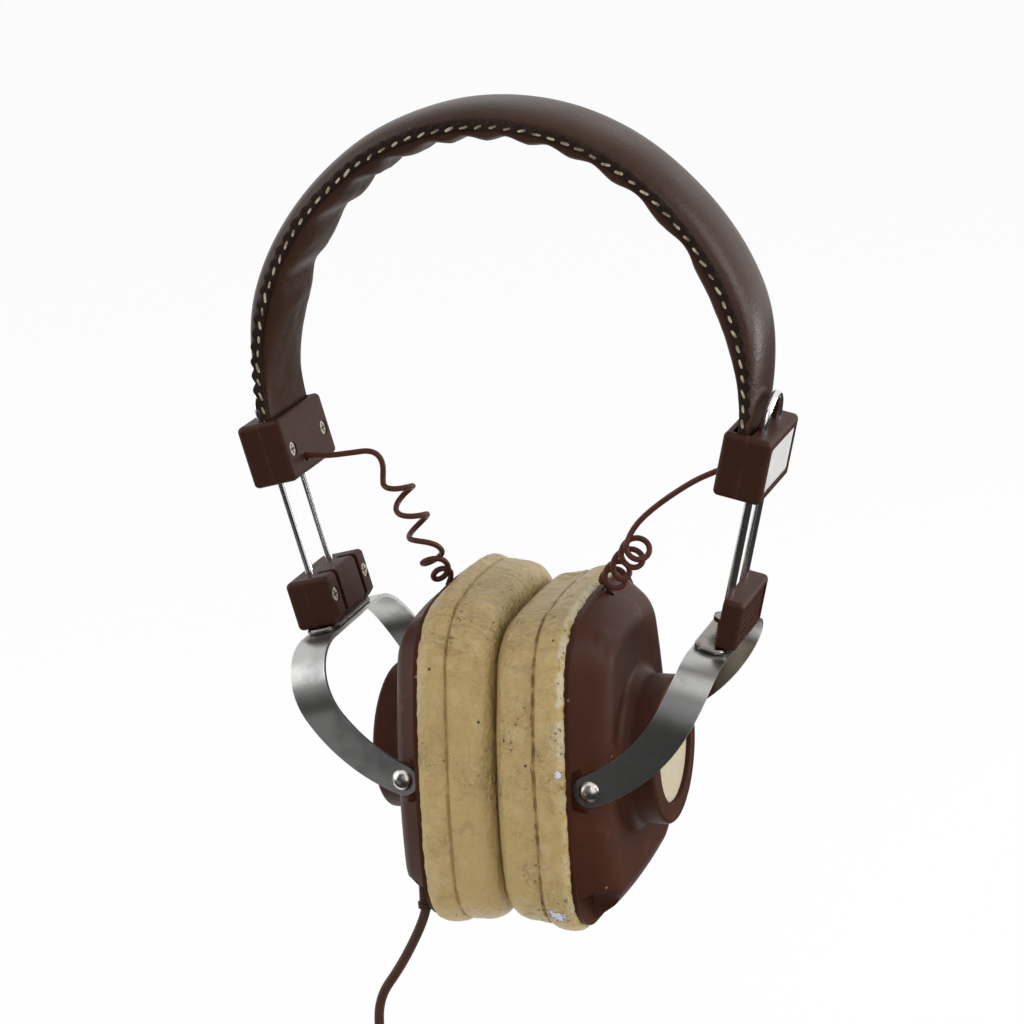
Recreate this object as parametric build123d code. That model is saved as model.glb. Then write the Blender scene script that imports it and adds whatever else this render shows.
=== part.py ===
from build123d import *
import os
from math import cos, pi, radians, sin, sqrt, tan

# Worn over-ear radio headphones: a stitched leather headband, two clamp blocks, chrome slide rods,
# steel strap yokes and two hinged ear cups.  Millimetres, +Z up, X from ear to ear, -Y to the front.
# The origin is the underside of the headband at its crown, where the wearer's head holds it.
# Every paired piece is drawn on the +X side and mirrored.

# --- headband: three arcs each side of the crown, measured along the side seam
crown_radius = 56.4
shoulder_radius = 67.7
temple_radius = 58.6
crown_angle = 38.0
shoulder_angle = 58.0
thinning_angle = 74.0
stem_lean = 13.65
band_width = 23.0
cover_rise = 4.8
cover_end_rise = 1.5
cover_edge_radius = 1.4
pad_depth = 4.7
pad_end_depth = 1.2
pad_inset = 0.6
pad_edge_radius = 1.1
spring_width = 15.0
spring_thickness = 0.8
spring_tail = 8.0
wire_channel = 1.5
crossover_diameter = 1.3

# --- clamp block at each end of the headband
block_depth = 27.0
block_thickness = 11.5
block_height = 15.5
block_edge_radius = 1.3
band_seat_depth = 3.85
seam_offset = -1.8
part_clearance = 0.1
mouth_inner_margin = 1.1
mouth_outer_margin = 0.9
plate_rim = 2.4
plate_recess = 1.0
plate_thickness = 0.7
plate_corner = 0.8

# --- screws that close the blocks
screw_spacing = 19.4
screw_height = 7.2
screw_diameter = 2.0
screw_length = 7.0
screw_head_diameter = 3.5
screw_head_height = 1.2
screw_head_sink = 0.3
drive_slot_width = 0.5
drive_slot_depth = 0.5
drive_slot_length = 2.2

# --- chrome slide rod, one bent piece each side
rod_diameter = 2.0
rod_spacing = 12.8
rod_offset = 1.8
rod_visible = 24.6
rod_seat = 9.4
rod_bend_lift = 0.9
rod_clearance = 0.03

# --- slider block at the foot of the rods
slider_depth = 24.2
slider_thickness = 11.7
slider_height = 12.3
slider_offset = 0.9
slider_edge_radius = 1.3
slider_chamfer = 2.1
slider_groove = 1.4
slider_groove_width = 1.8
slider_screw_drop = 5.2
grille_rim = 1.4
grille_recess = 0.5
grille_pitch = 1.75
grille_hole = 0.8
grille_hole_depth = 0.4
cavity_depth = 1.6
cavity_wall = 1.3

# --- swivel between the slider and the yoke
washer_depth = 26.6
washer_width = 8.6
washer_thickness = 1.3
washer_corner = 3.6
washer_edge = 0.4
swivel_pin_diameter = 3.6
swivel_head_diameter = 6.0
swivel_head_height = 1.1
swivel_grip = 2.6
swivel_clearance = 0.05

# --- steel strap yoke
strap_thickness = 0.9
strap_top_width = 9.0
strap_end_width = 7.7
arm_spread = 29.4
arm_bend_radius = 15.0

# --- pivots that carry the ear cups
pivot_x = 23.2
pivot_z = -148.0
pivot_pin_diameter = 3.0
pivot_head_diameter = 5.3
pivot_head_height = 1.7
pivot_boss_diameter = 7.6
pivot_boss_root = 1.5
pivot_clearance = 0.05
pivot_depth = 4.5
pivot_pocket_margin = 2.0

# --- ear cup shell: outline of the rim seen along X, heights taken from the pivot
rim_x = 18.0
rim_thickness = 1.2
cup_top = 39.8
cup_shoulder_height = 37.0
cup_shoulder_half = 25.5
cup_belly_height = -8.0
cup_belly_half = 32.6
cup_chin_height = -36.8
cup_chin_half = 31.0
cup_bottom = -38.8
cup_top_corner = 15.0
cup_bottom_corner = 15.0
shell_step = 1.0
shell_rise = 7.6
shell_draft = 34.0
shell_edge_radius = 8.5
shell_wall = 2.6
cavity_rise = 5.2
cup_boss_diameter = 36.0
cup_boss_face = 35.5
cup_boss_wall = 3.0
cup_boss_edge = 1.0
cup_boss_root = 3.0
disc_diameter = 26.0
disc_thickness = 0.8
disc_recess = 1.8
disc_edge = 0.25
scoop_radius = 8.0
scoop_sink = 4.6
scoop_wall = 1.4

# --- cable boot in the scoop of the left cup
exit_x = 22.6
exit_y = -22.0
boot_length = 9.3
boot_top_diameter = 3.0
boot_end_diameter = 4.3
boot_flare = 1.3
boot_flare_step = 0.4
boot_seat = 1.0
boot_clearance = 0.05
jumper_port_y = 2.5
jumper_port_x = 20.6

# --- what the cup holds
baffle_thickness = 1.6
baffle_clearance = 0.1
driver_diameter = 40.0
driver_flange = 1.2
driver_depth = 4.6
basket_diameter = 34.0
basket_wall = 1.0
basket_windows = 6
basket_window_diameter = 4.0
magnet_diameter = 19.0
magnet_height = 4.4
magnet_chamfer = 0.6
dome_radius = 11.0
dome_height = 2.2
baffle_mouth_diameter = 33.0
film_thickness = 0.5
screen_thickness = 1.6
screen_clearance = 0.3

# --- ear pad: an inner and an outer roll round the ear opening
pad_gap = 0.15
inner_roll = 10.0
outer_roll_grow = 2.0
inner_roll_grow = 1.2
roll_radius = 3.6
ear_opening_half_width = 17.0
ear_opening_half_height = 24.0

# --- cords
jumper_diameter = 1.5
jumper_coil_diameter = 6.8
port_depth = 2.4
port_sink = 0.2
jumper_exit_y = -4.5
jumper_exit_height = 3.4
bend_share = 0.45
cable_diameter = 2.4
hank_mean_radius = 13.2
hank_bundle_diameter = 10.8
hank_drop = 12.0
tie_width = 5.0
tie_thickness = 0.7
lead_length = 10.0

# --- plug on the end of the cable
plug_collar_diameter = 5.0
plug_collar_length = 6.0
plug_collar_lip = 0.5
plug_body_diameter = 8.6
plug_body_length = 18.0
plug_body_taper = 0.5
plug_body_edge = 0.8
plug_pin_diameter = 3.5
plug_pin_length = 14.0
plug_ring_gap = 0.5
plug_ring_sink = 0.25
plug_ring_shares = (0.62, 0.86)
plug_tip_diameter = 1.0
plug_tip_length = 2.6

# --- working values: how far a cutting tool stands past a face, and how near counts as the same place
overcut = 1.0
same_place = 0.01

# points that the cords pass, chosen by hand (x, y, z)
right_jumper_points = [
    (47.0, -4.5, -78.2),
    (41.2, -4.5, -81.2),
    (34.4, -4.2, -86.0),
    (29.2, -3.4, -91.4),
]
left_jumper_points = [
    (-47.4, -4.5, -76.2),
    (-40.5, -4.5, -75.2),
    (-34.4, -4.3, -74.4),
    (-31.8, -3.9, -79.6),
]
right_coil_foot = (24.2, 0.0, -101.6)
left_coil_foot = (-23.6, 0.4, -101.4)
cable_points = [
    (-25.0, -22.0, -190.2),
    (-30.6, -22.3, -200.4),
    (-37.2, -22.1, -209.4),
    (-37.8, -22.0, -220.6),
    (-38.1, -22.0, -231.6),
]


def polar(centre, radius, angle):
    """Point in the XZ plane at an angle from straight up, turning towards +X."""
    return (centre[0] + radius * sin(radians(angle)), centre[1] + radius * cos(radians(angle)))


crown_centre = (0.0, pad_depth - crown_radius)
shoulder_centre = polar(crown_centre, crown_radius - shoulder_radius, crown_angle)
temple_centre = polar(shoulder_centre, shoulder_radius - temple_radius, shoulder_angle)
band_end_angle = 90.0 + stem_lean

# The stem plane leans with the rods: local x points outwards, y to the back and z up along the rods.
# Its origin is the middle of the block's underside.
out = Vector(cos(radians(stem_lean)), 0, -sin(radians(stem_lean)))
up = Vector(sin(radians(stem_lean)), 0, cos(radians(stem_lean)))
band_end = polar(temple_centre, temple_radius, band_end_angle)
band_end = Vector(band_end[0], 0, band_end[1])
stem_origin = band_end - out * seam_offset - up * (block_height - band_seat_depth)
stem = Plane(origin=stem_origin, x_dir=out, z_dir=up)
slider_origin = stem_origin + out * slider_offset - up * rod_visible
slider = Plane(origin=slider_origin, x_dir=out, z_dir=up)
cup = Plane(origin=(0, 0, pivot_z), x_dir=(1, 0, 0), z_dir=(0, 0, 1))
side_view = Plane.XZ


def bounded_arc(centre, radius, start, end):
    middle = polar(centre, radius, (start + end) / 2)
    return ThreePointArc(polar(centre, radius, start), middle, polar(centre, radius, end))


def band_curve(rise, end_rise):
    """Right half of the band's side view at one height over the seam, thinning towards the block."""
    arcs = [
        bounded_arc(crown_centre, crown_radius + rise, 0, crown_angle),
        bounded_arc(shoulder_centre, shoulder_radius + rise, crown_angle, shoulder_angle),
        bounded_arc(temple_centre, temple_radius + rise, shoulder_angle, thinning_angle),
    ]
    foot = polar(temple_centre, temple_radius + end_rise, band_end_angle)
    return arcs + [TangentArc(arcs[-1] @ 1, foot, tangent=arcs[-1] % 1)]


def band_layer(low, low_end, high, high_end, width):
    """Right half of one layer of the band, between two heights over the seam."""
    lower = band_curve(low, low_end)
    upper = band_curve(high, high_end)
    ends = [Line(lower[0] @ 0, upper[0] @ 0), Line(lower[-1] @ 1, upper[-1] @ 1)]
    return extrude(side_view * make_face(lower + upper + ends), width / 2, both=True)


def whole(half):
    return half + mirror(half, about=Plane.YZ)


def long_edges(layer, curve):
    """The two edges of a layer that follow a curve of its side view."""
    middles = [side_view.from_local_coords(arc @ 0.5) for arc in curve]
    return [
        edge
        for edge in layer.edges()
        for middle in middles
        if (Vector(edge.position_at(0.5).X, 0, edge.position_at(0.5).Z) - middle).length < same_place
    ]


def headband_cover():
    layer = band_layer(0, 0, cover_rise, cover_end_rise, band_width)
    layer = fillet(long_edges(layer, band_curve(cover_rise, cover_end_rise)), cover_edge_radius)
    spring_bed = band_layer(0, 0, spring_thickness, spring_thickness, spring_width + part_clearance)
    channel_top = spring_thickness + wire_channel
    channel = band_layer(0, 0, channel_top, spring_thickness, wire_channel)
    return whole(layer - spring_bed - channel)


def headband_pad():
    layer = band_layer(-pad_depth, -pad_end_depth, 0, 0, band_width - 2 * pad_inset)
    return whole(fillet(long_edges(layer, band_curve(-pad_depth, -pad_end_depth)), pad_edge_radius))


def headband_spring():
    strip = band_layer(0, 0, spring_thickness, spring_thickness, spring_width)
    tail = Pos(seam_offset + spring_thickness / 2, 0, block_height - band_seat_depth - spring_tail / 2)
    tail = stem * tail * Box(spring_thickness, spring_width, spring_tail)
    return whole(strip + tail)


def crossover_wire():
    lift = spring_thickness + crossover_diameter / 2
    run = band_curve(lift, lift)[:3]
    run = Wire([side_view.from_local_coords(edge) for edge in run])
    start = Plane(origin=run @ 0, z_dir=run % 0)
    return whole(sweep(start * Circle(crossover_diameter / 2), path=run))


def rounded_box(thickness, depth, height, radius):
    return fillet(Box(thickness, depth, height).edges(), radius)


def halves(body, plane_x, size):
    """Split a block at a plane across its local x, giving the outer and the inner half."""
    slab = Pos(plane_x + size, 0, 0) * Box(2 * size, 4 * size, 4 * size)
    return body & slab, body - slab


def screw_seats(x_face, z):
    """Shafts and sunk heads of a pair of screws driven in from the inner face."""
    cut = Part()
    for y in (-screw_spacing / 2, screw_spacing / 2):
        shaft = Pos(x_face + screw_length / 2, y, z) * Rot(0, 90, 0)
        head = Pos(x_face + (screw_head_height + screw_head_sink) / 2, y, z) * Rot(0, 90, 0)
        cut += shaft * Cylinder(screw_diameter / 2, screw_length)
        radius = screw_head_diameter / 2 + part_clearance
        cut += head * Cylinder(radius, screw_head_height + screw_head_sink)
    return cut


def screw_pair(x_face, z):
    """The two cross-slotted screws that fill the seats."""
    screws = []
    for y in (-screw_spacing / 2, screw_spacing / 2):
        head_x = x_face + screw_head_sink
        head = Pos(head_x + screw_head_height / 2, y, z) * Rot(0, 90, 0)
        head = head * Cylinder(screw_head_diameter / 2, screw_head_height)
        shaft_length = screw_length - screw_head_sink
        shaft = Pos(head_x + shaft_length / 2, y, z) * Rot(0, 90, 0)
        screw = head + shaft * Cylinder(screw_diameter / 2, shaft_length)
        for tilt in (0, 90):
            slot = Pos(head_x + drive_slot_depth / 2, y, z) * Rot(tilt, 0, 0)
            screw -= slot * Box(drive_slot_depth, drive_slot_length, drive_slot_width)
        screws.append(screw)
    return Compound(children=screws)


def rod_axes(x, z, length, radius):
    cut = Part()
    for y in (-rod_spacing / 2, rod_spacing / 2):
        cut += Pos(x, y, z) * Cylinder(radius, length)
    return cut


def clamp_block():
    """Outer and inner half of the block that grips the end of the headband."""
    body = Pos(0, 0, block_height / 2)
    body = body * rounded_box(block_thickness, block_depth, block_height, block_edge_radius)
    mouth_low = seam_offset - pad_end_depth - mouth_inner_margin
    mouth_high = seam_offset + cover_end_rise + mouth_outer_margin
    mouth = Pos((mouth_low + mouth_high) / 2, 0, block_height - band_seat_depth / 2)
    mouth_width = band_width + 2 * part_clearance
    body -= mouth * Box(mouth_high - mouth_low, mouth_width, band_seat_depth)
    tail = Pos(seam_offset + spring_thickness / 2, 0, block_height - band_seat_depth - spring_tail / 2)
    body -= tail * Box(spring_thickness, spring_width + part_clearance, spring_tail)
    body -= rod_axes(rod_offset, block_height / 2, 2 * block_height, rod_diameter / 2 + rod_clearance)
    body -= screw_seats(-block_thickness / 2, screw_height)
    recess = Pos(block_thickness / 2 - plate_recess / 2, 0, block_height / 2)
    body -= recess * side_plate_solid(plate_recess, part_clearance)
    port = Pos(port_local.X + port_depth / 2, port_local.Y, port_local.Z) * Rot(0, 90, 0)
    body -= port * Cylinder(jumper_diameter / 2 + part_clearance, port_depth)
    return halves(body, 0, block_depth)


def side_plate_solid(thickness, grow):
    depth = block_depth - 2 * plate_rim + 2 * grow
    height = block_height - 2 * plate_rim + 2 * grow
    plate = Box(thickness, depth, height)
    return fillet(plate.edges().filter_by(Axis.X), plate_corner)


def side_plate():
    sunk = block_thickness / 2 - plate_recess
    return Pos(sunk + plate_thickness / 2, 0, block_height / 2) * side_plate_solid(plate_thickness, 0)


def slide_rod():
    """One chrome rod bent into a long U, its bend standing over the block."""
    half = rod_spacing / 2
    foot = -rod_visible - rod_seat
    shoulder = block_height + rod_bend_lift
    rise = Line((rod_offset, -half, foot), (rod_offset, -half, shoulder))
    bend = ThreePointArc(
        (rod_offset, -half, shoulder), (rod_offset, 0, shoulder + half), (rod_offset, half, shoulder)
    )
    fall = Line((rod_offset, half, shoulder), (rod_offset, half, foot))
    path = Wire([rise, bend, fall])
    return sweep(Pos(rod_offset, -half, foot) * Circle(rod_diameter / 2), path=path)


def slider_body():
    """Uncut slider block: local z runs down from its top face at 0."""
    body = Pos(0, 0, -slider_height / 2)
    body = body * rounded_box(slider_thickness, slider_depth, slider_height, slider_edge_radius)
    heel = Pos(-slider_thickness / 2, 0, -slider_height) * Rot(0, 45, 0)
    side = slider_chamfer * sqrt(2)
    return body - heel * Box(side, 2 * slider_depth, side)


def slider_cuts():
    rods = slider_rod_x
    cut = rod_axes(rods, -rod_seat / 2, rod_seat, rod_diameter / 2)
    cut += screw_seats(-slider_thickness / 2, -slider_screw_drop)
    pin = Pos(0, 0, -slider_height + swivel_grip / 2)
    cut += pin * Cylinder(swivel_pin_diameter / 2, swivel_grip)
    head = Pos(0, 0, -slider_height + swivel_grip + swivel_head_height / 2)
    return cut + head * Cylinder(swivel_head_diameter / 2, swivel_head_height)


def grille():
    """Sunk panel of small diamond holes on the slider's outer face, as one tool to cut with."""
    depth = slider_depth - 2 * grille_rim
    height = slider_height - 2 * grille_rim
    panel = Box(2 * grille_recess, depth, height)
    panel = fillet(panel.edges().filter_by(Axis.X), plate_corner)
    rows = int((height - grille_hole) / grille_pitch)
    columns = int((depth - grille_hole) / grille_pitch)
    diamond = Rot(45, 0, 0) * Box(2 * grille_hole_depth, grille_hole, grille_hole)
    diamonds = []
    for row in range(rows):
        for column in range(columns):
            y = grille_pitch * (column - (columns - 1) / 2)
            z = grille_pitch * (row - (rows - 1) / 2)
            diamonds.append(Pos(-grille_recess, y, z) * diamond)
    return Pos(slider_thickness / 2, 0, -slider_height / 2) * (panel + diamonds)


def slider_outer():
    """Outer half: rod beds, screw posts and a shallow well on its inside, the grille outside."""
    outer, inner = halves(slider_body() - slider_cuts(), slider_rod_x, slider_depth)
    between = rod_spacing - rod_diameter - 2 * cavity_wall
    height = slider_height - swivel_grip - swivel_head_height - 2 * cavity_wall
    well = Pos(slider_rod_x + cavity_depth / 2, 0, -cavity_wall - height / 2)
    outer -= well * Box(cavity_depth, between, height)
    return outer - grille()


def slider_inner():
    """Inner half: two grooves in line with the rods leave a proud middle between the screws."""
    outer, inner = halves(slider_body() - slider_cuts(), slider_rod_x, slider_depth)
    for y in (-rod_spacing / 2, rod_spacing / 2):
        face = Pos(-slider_thickness / 2, y, -slider_height / 2)
        inner -= face * Box(2 * slider_groove, slider_groove_width, slider_height)
        over = Pos(-slider_thickness / 4 - rod_diameter / 2, y, 0)
        inner -= over * Box(slider_thickness / 2, slider_groove_width, 2 * slider_groove)
    return inner


def swivel_washer():
    """Pressed washer between slider and yoke, a little longer than the slider is deep."""
    plate = Box(washer_width, washer_depth, washer_thickness)
    plate = fillet(plate.edges().filter_by(Axis.Z), washer_corner)
    rims = plate.edges().group_by(Axis.Z)
    plate = chamfer(rims[0] + rims[-1], washer_edge)
    plate -= Cylinder(swivel_pin_diameter / 2, 2 * washer_thickness)
    return Pos(0, 0, -slider_height - washer_thickness / 2) * plate


def swivel_rivet():
    """Rivet from the slider through washer and strap, with a domed head under the strap."""
    foot = strap_bottom - swivel_clearance
    top = -slider_height + swivel_grip
    shank = Pos(0, 0, (foot + top) / 2) * Cylinder(swivel_pin_diameter / 2, top - foot)
    head = Pos(0, 0, top + swivel_head_height / 2)
    head = head * Cylinder(swivel_head_diameter / 2, swivel_head_height)
    dome = Pos(0, 0, foot) * dome_head(swivel_head_diameter, swivel_head_height)
    return shank + head + dome


def dome_head(diameter, height):
    """Low dome hanging below z = 0, cut from a sphere."""
    radius = (diameter**2 / 4 + height**2) / (2 * height)
    below = Pos(0, 0, -height) * Box(2 * diameter, 2 * diameter, 2 * height)
    return Pos(0, 0, radius - height) * Sphere(radius) & below


def yoke():
    """Bent steel strap: its arch seen along x is cut to the sweep of its arms seen from the front."""
    top = strap_bottom + strap_thickness
    blank_width = 3 * arm_spread
    drop = 2 * arm_spread
    spread = arm_spread + strap_thickness
    outer_radius = arm_bend_radius + strap_thickness
    arch = Pos(0, 0, top - drop / 2) * Box(blank_width, 2 * spread, drop)
    arch = fillet(arch.edges().filter_by(Axis.X).group_by(Axis.Z)[-1], outer_radius)
    hollow = Pos(0, 0, top - strap_thickness - drop / 2) * Box(blank_width, 2 * arm_spread, drop)
    arch -= fillet(hollow.edges().filter_by(Axis.X).group_by(Axis.Z)[-1], arm_bend_radius)
    arch = slider * arch
    strap = arch & arm_sweep(top)
    for y in (-1, 1):
        hole = Pos(pivot_x, y * spread, pivot_z) * Rot(90, 0, 0)
        strap -= hole * Cylinder(pivot_pin_diameter / 2 + pivot_clearance, 4 * strap_thickness)
    hole = slider * Pos(0, 0, strap_bottom)
    return strap - hole * Cylinder(swivel_pin_diameter / 2 + swivel_clearance, 4 * strap_thickness)


def arm_sweep(top):
    """Curved side view of the yoke's arms, from under the slider to the pivots, cut right through."""
    start = slider.from_local_coords(Vector(0, 0, top))
    pivot = Vector(pivot_x, 0, pivot_z)
    middle = TangentArc((start.X, start.Z), (pivot.X, pivot.Z), tangent=(-up.X, -up.Z))
    ahead = middle % 1
    aside = Vector(-ahead.Y, ahead.X)
    half = strap_end_width / 2
    left = Vector(start.X, start.Z) - Vector(out.X, out.Z) * strap_top_width / 2
    right = Vector(start.X, start.Z) + Vector(out.X, out.Z) * strap_top_width / 2
    end = middle @ 1
    inner = TangentArc(left, end - aside * half, tangent=(-up.X, -up.Z))
    outer = TangentArc(right, end + aside * half, tangent=(-up.X, -up.Z))
    cap = ThreePointArc(end - aside * half, end + ahead * half, end + aside * half)
    face = make_face([Line(left, right), outer, cap, inner])
    return extrude(side_view * face, 2 * arm_spread, both=True)


def cup_outline(grow):
    """Rim outline seen along X, grown or shrunk all round: four shallow arcs with rounded corners."""
    shoulder = (cup_shoulder_half + grow, cup_shoulder_height + grow)
    belly = (cup_belly_half + grow, cup_belly_height)
    chin = (cup_chin_half + grow, cup_chin_height - grow)
    sketch = make_face(
        [
            ThreePointArc((-shoulder[0], shoulder[1]), (0, cup_top + grow), shoulder),
            ThreePointArc(shoulder, belly, chin),
            ThreePointArc(chin, (0, cup_bottom - grow), (-chin[0], chin[1])),
            ThreePointArc((-chin[0], chin[1]), (-belly[0], belly[1]), (-shoulder[0], shoulder[1])),
        ]
    )
    sketch = fillet(sketch.vertices().sort_by(Axis.Y)[:2], cup_bottom_corner + grow)
    return fillet(sketch.vertices().sort_by(Axis.Y)[-2:], cup_top_corner + grow)


def slab(grow, start, thickness):
    """The rim outline, grown or shrunk, raised outwards along X from one height."""
    return extrude(Plane.YZ.offset(start) * cup_outline(grow), thickness)


def bowl(grow, start, rise):
    """The rim outline raised outwards and narrowing by the shell's draft."""
    narrow = grow - rise * tan(radians(shell_draft))
    low = Plane.YZ.offset(start) * cup_outline(grow)
    high = Plane.YZ.offset(start + rise) * cup_outline(narrow)
    return loft([low, high], ruled=True)


def outer_rim(solid):
    """Edges round the outward face of a slab."""
    return solid.faces().sort_by(Axis.X)[-1].edges()


def boss_cylinder(radius, start, end):
    return Pos((start + end) / 2, 0, 0) * Rot(0, 90, 0) * Cylinder(radius, end - start)


def cup_shell():
    """Moulded shell: thin rim, drafted bowl, round boss with the disc's recess, and the cable scoop."""
    bowl_start = rim_x + rim_thickness
    body = bowl(-shell_step, bowl_start, shell_rise)
    body = fillet(outer_rim(body), shell_edge_radius)
    boss = boss_cylinder(cup_boss_diameter / 2, bowl_start, cup_boss_face)
    boss = fillet(outer_rim(boss), cup_boss_edge)
    body += boss
    root = [e for e in body.edges() if on_boss_root(e, bowl_start + shell_rise)]
    body = fillet(root, cup_boss_root) - cable_scoop(0)
    for side in (-1, 1):
        body = body + pivot_boss(side) - pivot_pocket(side)
    body += slab(0, rim_x, rim_thickness)
    hollow = bowl(-shell_step - shell_wall, rim_x, rim_thickness + cavity_rise)
    body -= hollow - cable_scoop(scoop_wall)
    inside = cup_boss_diameter / 2 - cup_boss_wall
    body -= boss_cylinder(inside, bowl_start, cup_boss_face - cup_boss_wall)
    recess_floor = cup_boss_face - disc_recess
    body -= boss_cylinder(disc_diameter / 2 + part_clearance, recess_floor, cup_boss_face + overcut)
    port = Pos(jumper_port_x, jumper_port_y, port_height)
    body -= port * Cylinder(jumper_diameter / 2 + part_clearance, 2 * port_depth)
    for side in (-1, 1):
        body -= pivot_seat(side) * Cylinder(pivot_pin_diameter / 2, 2 * pivot_depth)
    return body


def on_boss_root(edge, height):
    if edge.geom_type != GeomType.CIRCLE or abs(edge.center().X - height) > same_place:
        return False
    return edge.radius > cup_boss_diameter / 2 - same_place


def pivot_seat(side):
    """Place on the bowl's side that the yoke's arm bears on, with local z along the pivot."""
    return Pos(pivot_x, side * (arm_spread - pivot_clearance), 0) * Rot(90, 0, 0)


def pivot_boss(side):
    """Round boss under the arm, sunk into the bowl."""
    length = pivot_depth + pivot_boss_root
    return pivot_seat(side) * Pos(0, 0, side * length / 2) * Cylinder(pivot_boss_diameter / 2, length)


def pivot_pocket(side):
    """Flat pocket in the bowl that leaves the arm's end room to turn."""
    radius = strap_end_width / 2 + pivot_pocket_margin
    depth = 2 * strap_end_width
    return pivot_seat(side) * Pos(0, 0, -side * depth / 2) * Cylinder(radius, depth)


def cable_scoop(wall):
    """Hollow in the front lower corner behind the rim, where the boot stands on the left cup."""
    return Pos(exit_x, exit_y - scoop_sink, cup_bottom + scoop_sink) * Sphere(scoop_radius + wall)


def cup_disc():
    face = cup_boss_face - disc_recess
    disc = boss_cylinder(disc_diameter / 2, face, face + disc_thickness)
    return chamfer(outer_rim(disc), disc_edge)


def baffle():
    """Plate that closes the bowl and carries the driver."""
    plate = bowl(-shell_step - shell_wall - baffle_clearance, rim_x, baffle_thickness)
    plate -= cable_scoop(scoop_wall + baffle_clearance)
    back = rim_x + baffle_thickness + overcut
    return plate - boss_cylinder(baffle_mouth_diameter / 2, rim_x - overcut, back)


def driver_frame():
    """Flanged basket behind the baffle."""
    start = rim_x + baffle_thickness
    flange = boss_cylinder(driver_diameter / 2, start, start + driver_flange)
    basket = boss_cylinder(basket_diameter / 2, start, start + driver_depth)
    inside = basket_diameter / 2 - basket_wall
    body = flange + basket - boss_cylinder(inside, start - overcut, start + driver_depth - basket_wall)
    window = (inside + magnet_diameter / 2) / 2
    for count in range(basket_windows):
        turn = count * 360 / basket_windows
        hole = Rot(turn, 0, 0) * Pos(start + driver_depth, window, 0) * Rot(0, 90, 0)
        body -= hole * Cylinder(basket_window_diameter / 2, 4 * basket_wall)
    return body


def driver_magnet():
    back = rim_x + baffle_thickness + driver_depth
    magnet = boss_cylinder(magnet_diameter / 2, back, back + magnet_height)
    return chamfer(outer_rim(magnet), magnet_chamfer)


def driver_diaphragm():
    """Thin film in the driver's mouth: a flat surround with a dome towards the ear."""
    rim = rim_x + baffle_thickness + driver_flange
    half = basket_diameter / 2 - basket_wall - part_clearance
    ring = boss_cylinder(half, rim, rim + film_thickness)
    ring -= boss_cylinder(dome_radius, rim - overcut, rim + overcut)
    sphere = (dome_radius**2 + dome_height**2) / (2 * dome_height)
    centre = Pos(rim + sphere - dome_height, 0, 0)
    cap = centre * Sphere(sphere) - centre * Sphere(sphere - film_thickness)
    keep = boss_cylinder(dome_radius + film_thickness, rim - 2 * dome_height, rim + film_thickness)
    return ring + (cap & keep)


def ear_opening(start, end):
    opening = Plane.YZ.offset(start) * Ellipse(ear_opening_half_width, ear_opening_half_height)
    return extrude(opening, end - start)


def ear_screen():
    """Foam and cloth screen over the driver, at the bottom of the ear opening."""
    half_width = ear_opening_half_width - screen_clearance
    half_height = ear_opening_half_height - screen_clearance
    screen = Ellipse(half_width, half_height)
    return extrude(Plane.YZ.offset(rim_x - screen_thickness) * screen, screen_thickness)


def ear_pad():
    """Two soft rolls, one over the other, round the ear opening."""
    inner = slab(inner_roll_grow, pad_gap, inner_roll - pad_gap)
    outer = slab(outer_roll_grow, inner_roll, rim_x - inner_roll)
    rolls = [fillet(round_edges(roll), roll_radius) for roll in (inner, outer)]
    pad = rolls[0] + rolls[1]
    return pad - ear_opening(pad_gap - overcut, rim_x + overcut)


def round_edges(roll):
    ends = roll.faces().sort_by(Axis.X)
    return ends[0].edges() + ends[-1].edges()


def pivot_rivets():
    """Front and back rivets that hang the cup in its yoke."""
    rivets = []
    for side in (-1, 1):
        under = arm_spread + strap_thickness + pivot_clearance
        inner = arm_spread - pivot_depth
        shank = Pos(pivot_x, side * (under + inner) / 2, 0) * Rot(90, 0, 0)
        shank = shank * Cylinder(pivot_pin_diameter / 2, under - inner)
        head = Pos(pivot_x, side * under, 0) * Rot(side * 90, 0, 0)
        rivets.append(shank + head * dome_head(pivot_head_diameter, pivot_head_height))
    return Compound(children=rivets)


def corner_radii(points):
    """Arc radius at each inner point: a share of the shorter run over the tangent of half the turn."""
    radii = []
    for before, here, after in zip(points, points[1:], points[2:]):
        first = Vector(here) - Vector(before)
        second = Vector(after) - Vector(here)
        turn = first.get_angle(second)
        radii.append(bend_share * min(first.length, second.length) / tan(radians(turn / 2)))
    return radii


def tube(name, points, diameter):
    """Cord of round section along straight runs joined by tangent arcs."""
    if len(points) > 2:
        radii = corner_radii(points)
        print(name, "radii", [round(r, 1) for r in radii])
        path = Wire(FilletPolyline(*points, radius=radii).edges())
    else:
        path = Wire([Line(*points)])
    start = Plane(origin=path @ 0, z_dir=path % 0)
    solid = sweep(start * Circle(diameter / 2), path=path)
    filled = solid.volume / section_area(diameter) / path.length
    print(name, "length", round(path.length, 1), "filled", round(filled, 3))
    return solid


def section_area(diameter):
    return pi * diameter**2 / 4


def boot_hole():
    """Round hole in the ceiling of the left scoop that grips the boot's sleeve."""
    length = boot_length - boot_flare
    radius = boot_end_diameter / 2 - boot_flare_step + boot_clearance
    return boot_top_place * Pos(0, 0, -length / 2) * Cylinder(radius, length)


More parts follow.
